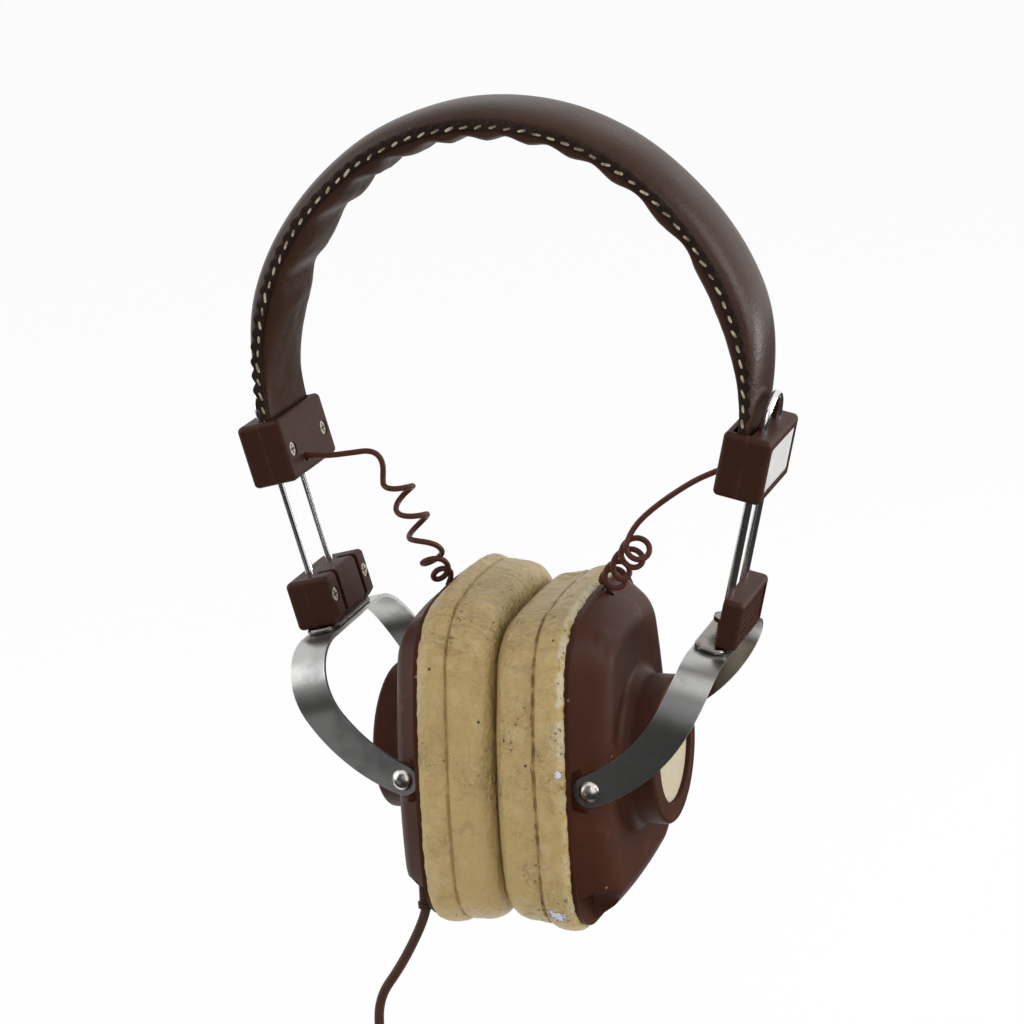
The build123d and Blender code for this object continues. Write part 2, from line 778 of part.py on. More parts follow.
def boot():
    """Strain relief that stands in the scoop: a tapered sleeve with a flared foot."""
    sleeve_length = boot_length - boot_flare
    sleeve = Cone(boot_end_diameter / 2 - boot_flare_step, boot_top_diameter / 2, sleeve_length)
    foot = Pos(0, 0, -sleeve_length / 2 - boot_flare / 2) * Cylinder(boot_end_diameter / 2, boot_flare)
    return boot_top_place * (Pos(0, 0, -sleeve_length / 2) * (sleeve + foot))


def hank():
    """Closed solid of the coiled cable, one thick ring hanging in a plane that faces the front."""
    ring = Torus(hank_mean_radius, hank_bundle_diameter / 2)
    return Pos(*hank_centre) * Rot(90, 0, 0) * ring


def hank_tie():
    """Band that ties the coil at its lower right."""
    radius = hank_bundle_diameter / 2 + tie_thickness
    sleeve = Rot(0, 90, 0) * (Cylinder(radius, tie_width) - Cylinder(hank_bundle_diameter / 2, tie_width))
    return Pos(*hank_centre) * Pos(0, 0, -hank_mean_radius) * sleeve


def plug_collar():
    collar = Cone(plug_collar_diameter / 2, cable_diameter / 2 + plug_collar_lip, plug_collar_length)
    return plug_place * Pos(0, 0, -plug_collar_length / 2) * collar


def plug_body():
    body = Cone(plug_body_diameter / 2 - plug_body_taper, plug_body_diameter / 2, plug_body_length)
    body = chamfer(body.faces().filter_by(GeomType.PLANE).edges(), plug_body_edge)
    return plug_place * Pos(0, 0, -plug_collar_length - plug_body_length / 2) * body


def plug_pin():
    """Three-contact plug pin, 3.5 mm, pointing down."""
    top = -plug_collar_length - plug_body_length
    half = plug_pin_diameter / 2
    barrel = plug_pin_length - plug_tip_length
    pin = Pos(0, 0, top - barrel / 2) * Cylinder(half, barrel)
    tip = Pos(0, 0, top - barrel - plug_tip_length / 2)
    pin += tip * Cone(plug_tip_diameter / 2, half, plug_tip_length)
    for share in plug_ring_shares:
        ring = Cylinder(half, plug_ring_gap) - Cylinder(half - plug_ring_sink, plug_ring_gap)
        pin -= Pos(0, 0, top - share * barrel) * ring
    return plug_place * pin


# --- places that depend on more than one piece
slider_rod_x = rod_offset - slider_offset
strap_bottom = -slider_height - washer_thickness - swivel_clearance - strap_thickness
port_local = Vector(-block_thickness / 2, jumper_exit_y, jumper_exit_height)
port_height = cup_top - port_depth / 2 - port_sink
scoop_ceiling = pivot_z + cup_bottom + scoop_sink + sqrt(scoop_radius**2 - scoop_sink**2)
boot_top_place = Pos(-exit_x, exit_y, scoop_ceiling + boot_seat)
hank_centre = (cable_points[-1][0] + hank_mean_radius, cable_points[-1][1], cable_points[-1][2] - hank_drop)
lead_top = (cable_points[-1][0], cable_points[-1][1], hank_centre[2] - hank_drop)
lead_foot = (lead_top[0], lead_top[1], lead_top[2] - lead_length)
plug_place = Pos(*lead_foot)

nodes = {
    "headband_cover": headband_cover(),
    "headband_pad": headband_pad(),
    "headband_spring": headband_spring(),
    "crossover_wire": crossover_wire(),
}


def add_pair(name, solid):
    nodes["right_" + name] = solid
    nodes["left_" + name] = mirror(solid, about=Plane.YZ)


block_outer, block_inner = clamp_block()
add_pair("block_outer", stem * block_outer)
add_pair("block_inner", stem * block_inner)
add_pair("side_plate", stem * side_plate())
add_pair("block_screws", stem * screw_pair(-block_thickness / 2, screw_height))
add_pair("slide_rod", stem * slide_rod())
add_pair("slider_outer", slider * slider_outer())
nodes["left_slider_inner"] = mirror(slider * slider_inner(), about=Plane.YZ)
slider_screws = slider * screw_pair(-slider_thickness / 2, -slider_screw_drop)
nodes["left_slider_screws"] = mirror(slider_screws, about=Plane.YZ)
add_pair("swivel_washer", slider * swivel_washer())
add_pair("swivel_rivet", slider * swivel_rivet())
add_pair("yoke", yoke())
add_pair("cup_shell", cup * cup_shell())
nodes["left_cup_shell"] -= boot_hole()
add_pair("cup_disc", cup * cup_disc())
add_pair("baffle", cup * baffle())
add_pair("driver_frame", cup * driver_frame())
add_pair("driver_magnet", cup * driver_magnet())
add_pair("driver_diaphragm", cup * driver_diaphragm())
add_pair("ear_screen", cup * ear_screen())
add_pair("ear_pad", cup * ear_pad())
add_pair("pivot_rivets", cup * pivot_rivets())
nodes["cable_boot"] = boot()

port = stem.from_local_coords(port_local + Vector(port_depth, 0, 0))
jumpers = {
    "right": (port, right_jumper_points, right_coil_foot, 1),
    "left": (Vector(-port.X, port.Y, port.Z), left_jumper_points, left_coil_foot, -1),
}
for side, (start, points, coil_foot, sign) in jumpers.items():
    cup_port = (sign * jumper_port_x, jumper_port_y, pivot_z + port_height)
    nodes[side + "_jumper_wire"] = tube(side + "_jumper_wire", [start] + points, jumper_diameter)
    nodes[side + "_jumper_coil"] = tube(
        side + "_jumper_coil", [points[-1], coil_foot], jumper_coil_diameter
    )
    nodes[side + "_jumper_tail"] = tube(side + "_jumper_tail", [coil_foot, cup_port], jumper_diameter)

boot_foot = (-exit_x, exit_y, boot_top_place.position.Z - boot_length)
nodes["main_cable"] = tube("main_cable", [boot_foot] + cable_points, cable_diameter)
nodes["cable_hank"] = hank()
nodes["hank_tie"] = hank_tie()
nodes["plug_lead"] = tube("plug_lead", [lead_top, lead_foot], cable_diameter)
nodes["plug_collar"] = plug_collar()
nodes["plug_body"] = plug_body()
nodes["plug_pin"] = plug_pin()

os.makedirs("parts", exist_ok=True)
for name, solid in nodes.items():
    export_step(solid, f"parts/{name}.step")
print(len(nodes), "nodes")
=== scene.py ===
import math
import random

import bmesh
import bpy
from mathutils import Matrix, Vector, noise
from mathutils.geometry import convex_hull_2d


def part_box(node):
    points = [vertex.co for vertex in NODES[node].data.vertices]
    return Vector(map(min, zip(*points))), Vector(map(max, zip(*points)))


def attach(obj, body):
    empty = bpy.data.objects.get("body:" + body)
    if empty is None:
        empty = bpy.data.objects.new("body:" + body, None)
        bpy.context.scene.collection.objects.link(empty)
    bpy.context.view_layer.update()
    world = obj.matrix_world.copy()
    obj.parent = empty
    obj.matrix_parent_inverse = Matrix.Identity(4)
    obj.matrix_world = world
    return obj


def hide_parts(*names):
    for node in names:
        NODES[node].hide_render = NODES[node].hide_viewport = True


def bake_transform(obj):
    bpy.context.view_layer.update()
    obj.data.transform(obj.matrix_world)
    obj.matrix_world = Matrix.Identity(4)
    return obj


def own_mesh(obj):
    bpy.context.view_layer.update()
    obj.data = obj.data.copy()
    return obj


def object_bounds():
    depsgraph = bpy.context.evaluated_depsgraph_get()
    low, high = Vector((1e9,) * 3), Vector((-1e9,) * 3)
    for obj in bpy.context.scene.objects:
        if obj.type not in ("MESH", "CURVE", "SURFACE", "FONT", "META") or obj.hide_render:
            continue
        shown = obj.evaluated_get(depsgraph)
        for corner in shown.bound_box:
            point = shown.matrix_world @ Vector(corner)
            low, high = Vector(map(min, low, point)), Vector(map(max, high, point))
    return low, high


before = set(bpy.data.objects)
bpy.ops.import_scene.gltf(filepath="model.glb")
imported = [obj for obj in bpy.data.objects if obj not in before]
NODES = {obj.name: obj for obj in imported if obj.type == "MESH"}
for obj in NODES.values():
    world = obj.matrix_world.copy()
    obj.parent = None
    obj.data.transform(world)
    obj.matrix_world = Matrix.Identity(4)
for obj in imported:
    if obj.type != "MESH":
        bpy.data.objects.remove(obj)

# Worn over-ear radio headphones, dressed around their CAD frame.  Metres, +Z up, X from ear to ear,
# -Y to the wearer's front, with the origin at the underside of the headband's crown.
MM = 0.001
SIDES = {"right": 1, "left": -1}
CAD_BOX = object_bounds()


# ------ camera
CAMERA_AZIMUTH = math.radians(19.65)
CAMERA_ELEVATION = math.radians(16.43)
CAMERA_ROLL = math.radians(-3.748)
CAMERA_LENS = 113.4
CAMERA_DISTANCE = 768 * MM
CAMERA_TARGET = Vector((-2.04, 0, -90)) * MM
CAMERA_LEVEL = Vector((math.cos(CAMERA_AZIMUTH), math.sin(CAMERA_AZIMUTH), 0))
CAMERA_AHEAD = Vector((-math.sin(CAMERA_AZIMUTH), math.cos(CAMERA_AZIMUTH), 0))
UP = Vector((0, 0, 1))


def add_camera():
    back = math.sin(CAMERA_ELEVATION) * UP - math.cos(CAMERA_ELEVATION) * CAMERA_AHEAD
    upright = back.cross(CAMERA_LEVEL)
    right = math.cos(CAMERA_ROLL) * CAMERA_LEVEL + math.sin(CAMERA_ROLL) * upright
    up = back.cross(right)
    camera = bpy.data.objects.new("camera", bpy.data.cameras.new("camera"))
    camera.data.lens = CAMERA_LENS
    turn = Matrix((right, up, back)).transposed().to_4x4()
    camera.matrix_world = Matrix.Translation(CAMERA_TARGET + CAMERA_DISTANCE * back) @ turn
    bpy.context.scene.collection.objects.link(camera)
    bpy.context.scene.camera = camera


add_camera()


# ------ shader arithmetic
# places of a Mix node's colour sockets, whose names repeat in the node
MIX_SHARE, MIX_FIRST, MIX_SECOND = 0, 6, 7
MIX_RESULT = 2


class Field:
    """A value, colour or vector that varies over a surface, as one output socket of a finish."""

    def __init__(self, finish, socket):
        self.finish = finish
        self.socket = socket

    def math(self, operation, *others):
        values = dict(enumerate((self,) + others))
        return self.finish.add("ShaderNodeMath", {"operation": operation}, values)

    def reverse(self, operation, other):
        return self.finish.add("ShaderNodeMath", {"operation": operation}, {0: other, 1: self})

    def __add__(self, other):
        return self.math("ADD", other)

    __radd__ = __add__

    def __mul__(self, other):
        return self.math("MULTIPLY", other)

    __rmul__ = __mul__

    def __sub__(self, other):
        return self.math("SUBTRACT", other)

    def __rsub__(self, other):
        return self.reverse("SUBTRACT", other)

    def __truediv__(self, other):
        return self.math("DIVIDE", other)

    def __rtruediv__(self, other):
        return self.reverse("DIVIDE", other)

    def step(self, low, high):
        """0 below low, 1 above high and smooth between, or the other way round when low is the larger."""
        settings = {"interpolation_type": "SMOOTHSTEP"}
        sockets = {"Value": self, "From Min": low, "From Max": high}
        return self.finish.add("ShaderNodeMapRange", settings, sockets)


class NodeTree:
    """A tree of shader nodes, and the one method that adds a node to it."""

    def __init__(self, owner):
        owner.use_nodes = True
        self.tree = owner.node_tree

    def add(self, kind, settings=None, sockets=None, output=0):
        """One output of a new node, whose settings are made before its sockets are fed."""
        node = self.tree.nodes.new(kind)
        for name, value in (settings or {}).items():
            setattr(node, name, value)
        for name, value in (sockets or {}).items():
            self.feed(node.inputs[name], value)
        return Field(self, node.outputs[output])

    def feed(self, socket, value):
        """Link a field to a socket, or set the socket to a plain number, colour or vector."""
        if isinstance(value, Field):
            self.tree.links.new(value.socket, socket)
        elif isinstance(value, tuple) and len(value) == 3 and socket.type == "RGBA":
            socket.default_value = (*value, 1)
        else:
            socket.default_value = value

    def seen_directly(self):
        """1 for what the eye, a gloss or clear film looks at, and 0 for light that falls on the object."""
        kinds = ("Is Camera Ray", "Is Glossy Ray", "Is Transmission Ray")
        eye, gloss, film = (self.add("ShaderNodeLightPath", output=kind) for kind in kinds)
        return (eye + gloss + film).math("MINIMUM", 1.0)


class Finish(NodeTree):
    """One material, with the patterns that this object's finishes are made of."""

    def __init__(self, name, roughness=0.5, **constants):
        self.material = bpy.data.materials.new(name)
        super().__init__(self.material)
        self.shader = self.tree.nodes["Principled BSDF"]
        self.shader.inputs["Roughness"].default_value = roughness
        for socket, value in constants.items():
            self.shader.inputs[socket.replace("_", " ")].default_value = value
        self.place = self.add("ShaderNodeTexCoord", output="Object")

    def set(self, **sockets):
        """Feed the surface shader's base_color, roughness or normal, and hand back the material."""
        for name, value in sockets.items():
            self.feed(self.shader.inputs[name.replace("_", " ").title()], value)
        return self.material

    def mix(self, first, second, share):
        """The first colour where share is 0 and the second where it is 1."""
        sockets = {MIX_SHARE: share, MIX_FIRST: first, MIX_SECOND: second}
        return self.add("ShaderNodeMix", {"data_type": "RGBA"}, sockets, MIX_RESULT)

    def layered(self, colour, *layers):
        """A colour with tints laid over it one after another, each as (tint, share)."""
        for tint, share in layers:
            colour = self.mix(colour, tint, share)
        return colour

    def vector(self, operation, first, second, output=0):
        settings = {"operation": operation}
        return self.add("ShaderNodeVectorMath", settings, {0: first, 1: second}, output)

    def stretched(self, scale):
        """The surface's own place, multiplied along X, Y and Z."""
        return self.vector("MULTIPLY", self.place, scale)

    def noise(self, size, detail=4.0, roughness=0.55, distortion=0.0, place=None):
        """Cloudy pattern from 0 to 1 whose blots are about size metres across."""
        sockets = {"Vector": place or self.place, "Scale": 1 / size, "Detail": detail,
                   "Roughness": roughness, "Distortion": distortion}
        return self.add("ShaderNodeTexNoise", None, sockets)

    def cells(self, size):
        """Distance to the nearest of points scattered about size metres apart: 0 at a point."""
        sockets = {"Vector": self.place, "Scale": 1 / size, "Randomness": 1.0}
        return self.add("ShaderNodeTexVoronoi", {"feature": "F1"}, sockets)

    def bump(self, height, depth, strength=1.0, normal=None):
        """Normals for a height from 0 to 1 that stands for depth metres."""
        sockets = {"Height": height, "Distance": depth, "Strength": strength}
        if normal:
            sockets["Normal"] = normal
        return self.add("ShaderNodeBump", None, sockets)

    def edge(self, radius):
        """About 1 on sharp edges and 0 on flat faces."""
        rounded = self.add("ShaderNodeBevel", {"samples": 4}, {"Radius": radius})
        true = self.add("ShaderNodeNewGeometry", output="Normal")
        return self.vector("DOT_PRODUCT", rounded, true, "Value").step(0.995, 0.8)

    def near(self, centre, radius, ragged=0.0):
        """1 close to a point of the object and 0 past the radius, with a ragged rim."""
        apart = self.vector("DISTANCE", self.place, centre, "Value")
        rim = radius * (1 - ragged) + self.noise(radius * 0.5) * (2 * ragged * radius)
        return (apart / rim).step(1.0, 0.85)

    def along(self, axis):
        """The surface's own X, Y or Z, in metres."""
        return self.add("ShaderNodeSeparateXYZ", None, {"Vector": self.place}, axis)


# ------ finishes
def tinted(tone, factor, lift=0.0):
    return tuple(factor * channel + lift for channel in tone)


def band_leather(name, tone, sheen, gloss, relief_depth):
    """Smooth dark brown leather with fine grain, soft creases and a dull sheen on worn places."""
    leather = Finish(name, Specular_IOR_Level=sheen)
    cloud = leather.noise(12 * MM, 5)
    grain = leather.cells(0.9 * MM)
    fine = leather.noise(0.6 * MM, 3)
    worn = leather.noise(20 * MM, 6, 0.6).step(0.5, 0.75)
    specks = leather.cells(6 * MM).step(0.1, 0.04)
    colour = leather.layered(tinted(tone, 0.72), (tone, cloud), (tinted(tone, 1.35, 0.006), worn * 0.55),
                             ((0.012, 0.007, 0.005), specks * 0.35))
    relief = leather.bump(grain * 0.6 + fine * 0.4, relief_depth)
    relief = leather.bump(leather.noise(7 * MM, 4, 0.6), 0.3 * MM, 0.35, relief)
    return leather.set(base_color=colour, roughness=gloss + cloud * 0.14 - worn * 0.06, normal=relief)


def cream_thread():
    """Waxed cream thread with twisted plies and brown grime."""
    thread = Finish("cream_thread", 0.65)
    grime = thread.noise(2.6 * MM, 4).step(0.40, 0.62)
    plies = thread.add("ShaderNodeTexWave", {"bands_direction": "DIAGONAL"},
                       {"Vector": thread.place, "Scale": 900.0, "Distortion": 1.5})
    colour = thread.mix((0.46, 0.38, 0.25), (0.10, 0.062, 0.036), grime * 0.85)
    return thread.set(base_color=colour, normal=thread.bump(plies, 0.1 * MM))


def block_plastic():
    """Moulded brown plastic of blocks and sliders: fine grain, rubbed edges, scuffs and scratches."""
    plastic = Finish("block_brown_plastic", Specular_IOR_Level=0.20)
    cloud = plastic.noise(14 * MM, 4)
    grain = plastic.noise(0.7 * MM, 2)
    streak = plastic.noise(3 * MM, 4, 0.6, 0.0, plastic.stretched((1.0, 1.0, 0.25)))
    scratch = plastic.noise(2.2 * MM, 6, 0.7, 1.5).step(0.66, 0.72)
    rubbed = plastic.edge(0.7 * MM) * plastic.noise(4 * MM, 4).step(0.35, 0.6)
    tone = (0.042, 0.0116, 0.0046)
    colour = plastic.layered(tinted(tone, 0.78), (tone, cloud),
                             ((0.15, 0.068, 0.045), rubbed * 0.28 + scratch * 0.15))
    relief = plastic.bump(grain, 0.05 * MM, 0.8)
    relief = plastic.bump(scratch + streak * 0.25, 0.06 * MM, 0.5, relief)
    return plastic.set(base_color=colour, roughness=0.44 + streak * 0.18 - rubbed * 0.08, normal=relief)


def cup_lacquer():
    """Rubber-like brown lacquer of the cups: soft sheen, pale rubs, tiny chips and fine scratches."""
    lacquer = Finish("cup_brown_lacquer", Specular_IOR_Level=0.15)
    cloud = lacquer.noise(18 * MM, 5)
    mottle = lacquer.noise(3 * MM, 5, 0.65)
    rub = lacquer.noise(11 * MM, 5, 0.6, 0.6).step(0.56, 0.74)
    hair = lacquer.noise(1.8 * MM, 3, 0.6, 0.0, lacquer.stretched((1.0, 1.0, 0.12))).step(0.66, 0.74)
    chips = lacquer.cells(7.5 * MM).step(0.055, 0.03)
    colour = lacquer.layered((0.037, 0.0108, 0.0045), ((0.060, 0.0182, 0.0084), cloud),
                             ((0.130, 0.055, 0.034), rub * 0.30 + hair * 0.12),
                             ((0.30, 0.24, 0.19), chips * 0.55))
    relief = lacquer.bump(mottle * 0.6 + lacquer.noise(0.7 * MM, 2) * 0.4, 0.07 * MM, 0.7)
    relief = lacquer.bump(lacquer.noise(20 * MM, 3), 0.5 * MM, 0.35, relief)
    return lacquer.set(base_color=colour, roughness=0.40 + mottle * 0.14 - rub * 0.07, normal=relief)


def pad_leatherette(name, tears, cracking):
    """Worn cream leatherette; cracking is 1 where it flakes and frays, and near 0 where it is whole."""
    skin = Finish(name, Specular_IOR_Level=0.60)
    across = skin.along("X").math("ABSOLUTE")
    cloud = skin.noise(18 * MM, 5, 0.6)
    blotch = skin.noise(6 * MM, 5, 0.62)

    # fine wrinkles drawn across the rolls, closer together where the leatherette is gathered at the top
    gathered = skin.along("Z").step(*GATHERED_HEIGHTS)
    wrinkle = skin.noise(1.3 * MM, 4, 0.6, 0.5, skin.stretched((0.13, 1.0, 0.55)))
    drawn = skin.noise(3 * MM, 4, 0.6, 0.6, skin.stretched((0.55, 1.0, 0.32)))

    # crust, pale specks, flakes and pits, most of them in crowded patches
    crowded = skin.noise(13 * MM, 4, 0.6, 0.4).step(0.53 - 0.06 * cracking, 0.66 - 0.06 * cracking)
    crust = skin.noise(1.4 * MM, 4, 0.62, 0.6, skin.stretched((0.8, 1.0, 0.6)))
    # how strongly the crust's painted shade and painted highlight show
    crust_light_and_shade = 0.08 + 0.16 * crowded
    speck = skin.cells(1.2 * MM).step(0.22, 0.10) * skin.noise(4 * MM, 3).step(0.46, 0.60)
    line = (skin.noise(4.2 * MM, 5, 0.64, 1.4) - 0.5).math("ABSOLUTE").step(0.022, 0.004)
    flakes = line * crowded * 0.12 * cracking
    pits = skin.cells(1.6 * MM).step(0.26, 0.12) * skin.noise(4 * MM, 3).step(0.50, 0.58) * crowded
    lone_pits = skin.cells(4.8 * MM).step(0.085, 0.045) * skin.noise(9 * MM, 3).step(0.44, 0.52)

    # painted shade in the crease between the two rolls, in patches, and a bare, frayed rim against the shell
    seam = (across - SEAM_X - (blotch - 0.5) * (0.9 * MM)).math("ABSOLUTE").step(0.55 * MM, 0.12 * MM)
    crease_shade = seam * skin.noise(3.5 * MM, 4).step(0.36, 0.60) * (0.12 + 0.40 * cracking)
    frayed = (across - skin.noise(2.2 * MM, 4) * (2.2 * MM)).step(*FRAYED_FROM_FACE) * cracking
    frayed = frayed * (0.35 + 0.65 * skin.along("Z").step(*FRAYED_HEIGHTS))
    colour = skin.layered(
        (0.410, 0.284, 0.106),
        ((0.494, 0.356, 0.146), cloud),
        ((0.570, 0.455, 0.255), blotch.step(0.50, 0.74) * 0.45),
        # painted shade: darker where the drawn folds and the gathered wrinkles sink in the relief below
        ((0.270, 0.180, 0.075), drawn.step(0.46, 0.28) * 0.38),
        ((0.250, 0.165, 0.068), wrinkle.step(0.52, 0.36) * gathered * 0.35),
        # painted shade in the crust's hollows and painted highlight on its tops, which the relief below
        # raises
        ((0.225, 0.142, 0.056), crust.step(0.49, 0.36) * crust_light_and_shade * 1.3),
        ((0.640, 0.530, 0.320), crust.step(0.53, 0.66) * crust_light_and_shade),
        ((0.660, 0.560, 0.350), speck * 0.28),
        # dark flakes and pits, and the painted shade in the crease
        ((0.150, 0.090, 0.036), flakes + pits * 0.60 + crease_shade),
        ((0.540, 0.475, 0.320), frayed * skin.noise(6 * MM, 4).step(0.42, 0.52) * 0.85),
        ((0.050, 0.032, 0.020), frayed * skin.cells(1.9 * MM).step(0.24, 0.12) * 0.8),
        ((0.040, 0.024, 0.014), lone_pits * 0.9),
    )

    # torn spots that show the pale cloth
    torn = 0.0
    for centre, radius in tears:
        torn = skin.near(centre, radius, 0.75) + torn
    if tears:
        torn = torn.math("MINIMUM", 1.0)
        cloth = skin.mix((0.50, 0.52, 0.55), (0.74, 0.75, 0.77), skin.noise(0.9 * MM, 3))
        colour = skin.mix(colour, cloth, torn)

    marks = pits * 0.45 + lone_pits * 0.8 + crease_shade * 0.5 + torn * 0.8
    folds = drawn * 0.5 + blotch * 0.35 + wrinkle * gathered * 0.5
    height = folds + crust * (0.20 + 0.55 * crowded) + speck * 0.06 - marks
    relief = skin.bump(skin.noise(0.8 * MM, 4, 0.62), 0.3 * MM, 1.0)
    relief = skin.bump(height, 1.5 * MM, 1.0, relief)
    return skin.set(base_color=colour, roughness=0.28 + blotch * 0.14 + torn * 0.25, normal=relief)


def bright_chrome():
    """Chrome plating with faint smears and pin marks."""
    chrome = Finish("bright_chrome", Metallic=1.0)
    smear = chrome.noise(6 * MM, 4)
    pins = chrome.cells(2 * MM).step(0.08, 0.03)
    colour = chrome.mix((0.80, 0.80, 0.80), (0.42, 0.40, 0.37), pins * 0.5)
    relief = chrome.bump(chrome.noise(4 * MM, 3), 0.03 * MM, 0.5)
    return chrome.set(base_color=colour, roughness=0.10 + smear * 0.12 + pins * 0.2, normal=relief)


def strap_steel():
    """Polished spring steel of the yokes: fine lengthwise scratches, dull patches and a painted highlight
    along the edges.
    """
    steel = Finish("strap_steel", Metallic=1.0)
    brushed = steel.noise(1.1 * MM, 3, 0.6, 0.0, steel.stretched((0.05, 1.0, 0.05)))
    across = steel.noise(0.6 * MM, 2, 0.6, 0.0, steel.stretched((1.0, 0.06, 1.0)))
    dull = steel.noise(9 * MM, 5).step(0.42, 0.70)
    # painted highlight: every edge is painted in a paler steel
    bright = steel.edge(0.4 * MM)
    colour = steel.layered((0.50, 0.497, 0.485), ((0.34, 0.34, 0.342), dull), ((0.78, 0.77, 0.75), bright))
    relief = steel.bump(across * 0.6 + brushed * 0.4, 0.03 * MM, 0.8)
    return steel.set(base_color=colour, roughness=0.26 + brushed * 0.10 + dull * 0.10, normal=relief)


def worn_steel(name, tone, grime):
    """Small steel pieces with grime in patches."""
    steel = Finish(name, Metallic=1.0)
    dirt = steel.noise(3 * MM, 4).step(0.50, 0.74)
    colour = steel.mix(tone, grime, dirt * 0.45)
    relief = steel.bump(steel.noise(0.6 * MM, 3), 0.04 * MM, 0.7)
    return steel.set(base_color=colour, roughness=0.24 + dirt * 0.25, normal=relief)


def cord_rubber(name, tone, gloss):
    """Soft brown cord covering with a faint sheen and dust."""
    rubber = Finish(name, Specular_IOR_Level=0.22)
    cloud = rubber.noise(6 * MM, 4)
    dust = rubber.noise(0.9 * MM, 4, 0.7).step(0.60, 0.75)
    colour = rubber.layered(tinted(tone, 0.75), (tone, cloud), (tinted(tone, 1.6, 0.004), dust * 0.4))
    relief = rubber.bump(rubber.noise(0.7 * MM, 3), 0.05 * MM, 0.7)
    return rubber.set(base_color=colour, roughness=gloss + cloud * 0.15, normal=relief)


def plain_moulding(name, tone, gloss, grain_size=0.8 * MM, metallic=0.0):
    """Moulded or plated piece with slight colour clouds, a fine grain and uneven gloss."""
    moulding = Finish(name, Metallic=metallic)
    cloud = moulding.noise(8 * MM, 4)
    colour = moulding.mix(tinted(tone, 0.8), tone, cloud)
    relief = moulding.bump(moulding.noise(grain_size, 3), 0.05 * MM, 0.6)
    return moulding.set(base_color=colour, roughness=gloss + cloud * 0.15, normal=relief)


def cream_disc():
    """Cream inlay of the cup's boss, speckled and rubbed dull."""
    disc = Finish("cream_inlay", Specular_IOR_Level=0.4)
    cloud = disc.noise(6 * MM, 5)
    fleck = disc.noise(1.1 * MM, 4, 0.7).step(0.58, 0.74)
    colour = disc.layered((0.40, 0.345, 0.23), ((0.48, 0.425, 0.30), cloud),
                          ((0.30, 0.24, 0.15), fleck * 0.35))
    relief = disc.bump(disc.noise(0.9 * MM, 4), 0.12 * MM, 0.8)
    return disc.set(base_color=colour, roughness=0.55 + cloud * 0.15, normal=relief)


def woven_cloth(name, tone):
    """Plain woven cloth, drawn as two crossed sets of threads."""
    cloth = Finish(name, 0.85)
    threads = {"Vector": cloth.place, "Scale": 420.0}
    warp = cloth.add("ShaderNodeTexWave", {"bands_direction": "Y"}, threads)
    weft = cloth.add("ShaderNodeTexWave", {"bands_direction": "Z"}, threads)
    weave = warp * 0.5 + weft * 0.5
    colour = cloth.mix(tone, tinted(tone, 1.8, 0.01), weave)
    return cloth.set(base_color=colour, normal=cloth.bump(weave, 0.2 * MM))


# the ear pads' crease between the rolls, their wear as (none, full), and their torn spots (centre, radius)
SEAM_X = 10.75 * MM
GATHERED_HEIGHTS = (-128 * MM, -112 * MM)
FRAYED_HEIGHTS = (-150 * MM, -128 * MM)
FRAYED_FROM_FACE = (15.2 * MM, 16.0 * MM)
TORN_SPOTS = [((14.2 * MM, -30.5 * MM, -178.6 * MM), 2.6 * MM),
              ((17.0 * MM, -33.8 * MM, -143.0 * MM), 1.25 * MM)]
OUTER_LEATHER = band_leather("band_cover_leather", (0.040, 0.0166, 0.0083), 0.22, 0.30, 0.07 * MM)
INNER_LEATHER = band_leather("band_pad_leather", (0.047, 0.0215, 0.0125), 0.08, 0.38, 0.09 * MM)
WELT_LEATHER = band_leather("welt_leather", (0.021, 0.0100, 0.0062), 0.15, 0.50, 0.30 * MM)
THREAD = cream_thread()
BLOCK_PLASTIC = block_plastic()
CUP_LACQUER = cup_lacquer()
CHROME = bright_chrome()
STRAP_STEEL = strap_steel()
RIVET_STEEL = worn_steel("rivet_steel", (0.72, 0.69, 0.64), (0.20, 0.17, 0.14))
WASHER_STEEL = worn_steel("washer_steel", (0.25, 0.235, 0.215), (0.07, 0.055, 0.045))
SCREW_STEEL = worn_steel("screw_steel", (0.52, 0.46, 0.38), (0.06, 0.04, 0.03))
SPRING_STEEL = worn_steel("spring_steel", (0.30, 0.31, 0.34), (0.12, 0.10, 0.09))
JUMPER_RUBBER = cord_rubber("jumper_brown_covering", (0.088, 0.0250, 0.0140), 0.30)
CABLE_RUBBER = cord_rubber("cable_brown_covering", (0.070, 0.0300, 0.0190), 0.42)
BOOT_RUBBER = cord_rubber("boot_brown_rubber", (0.046, 0.0200, 0.0130), 0.45)
PALE_PLATE = plain_moulding("pale_side_plate", (0.63, 0.625, 0.615), 0.36, 1.2 * MM)
BLACK_PLASTIC = plain_moulding("baffle_black_plastic", (0.018, 0.018, 0.018), 0.5)
FRAME_PLATING = plain_moulding("driver_frame_plating", (0.32, 0.32, 0.33), 0.3, 1.5 * MM, 1.0)
MAGNET_IRON = plain_moulding("magnet_iron", (0.12, 0.12, 0.125), 0.4, 0.6 * MM, 1.0)
CLEAR_FILM = plain_moulding("driver_film", (0.42, 0.42, 0.40), 0.18, 1.1 * MM)
PLUG_PLASTIC = plain_moulding("plug_brown_plastic", (0.040, 0.022, 0.017), 0.3)
PLUG_METAL = worn_steel("plug_metal", (0.74, 0.70, 0.60), (0.30, 0.26, 0.20))
DRIVER_CLOTH = woven_cloth("driver_cloth", (0.012, 0.012, 0.012))
TIE_CLOTH = woven_cloth("hank_tie_cloth", (0.020, 0.014, 0.012))
DISC_INLAY = cream_disc()

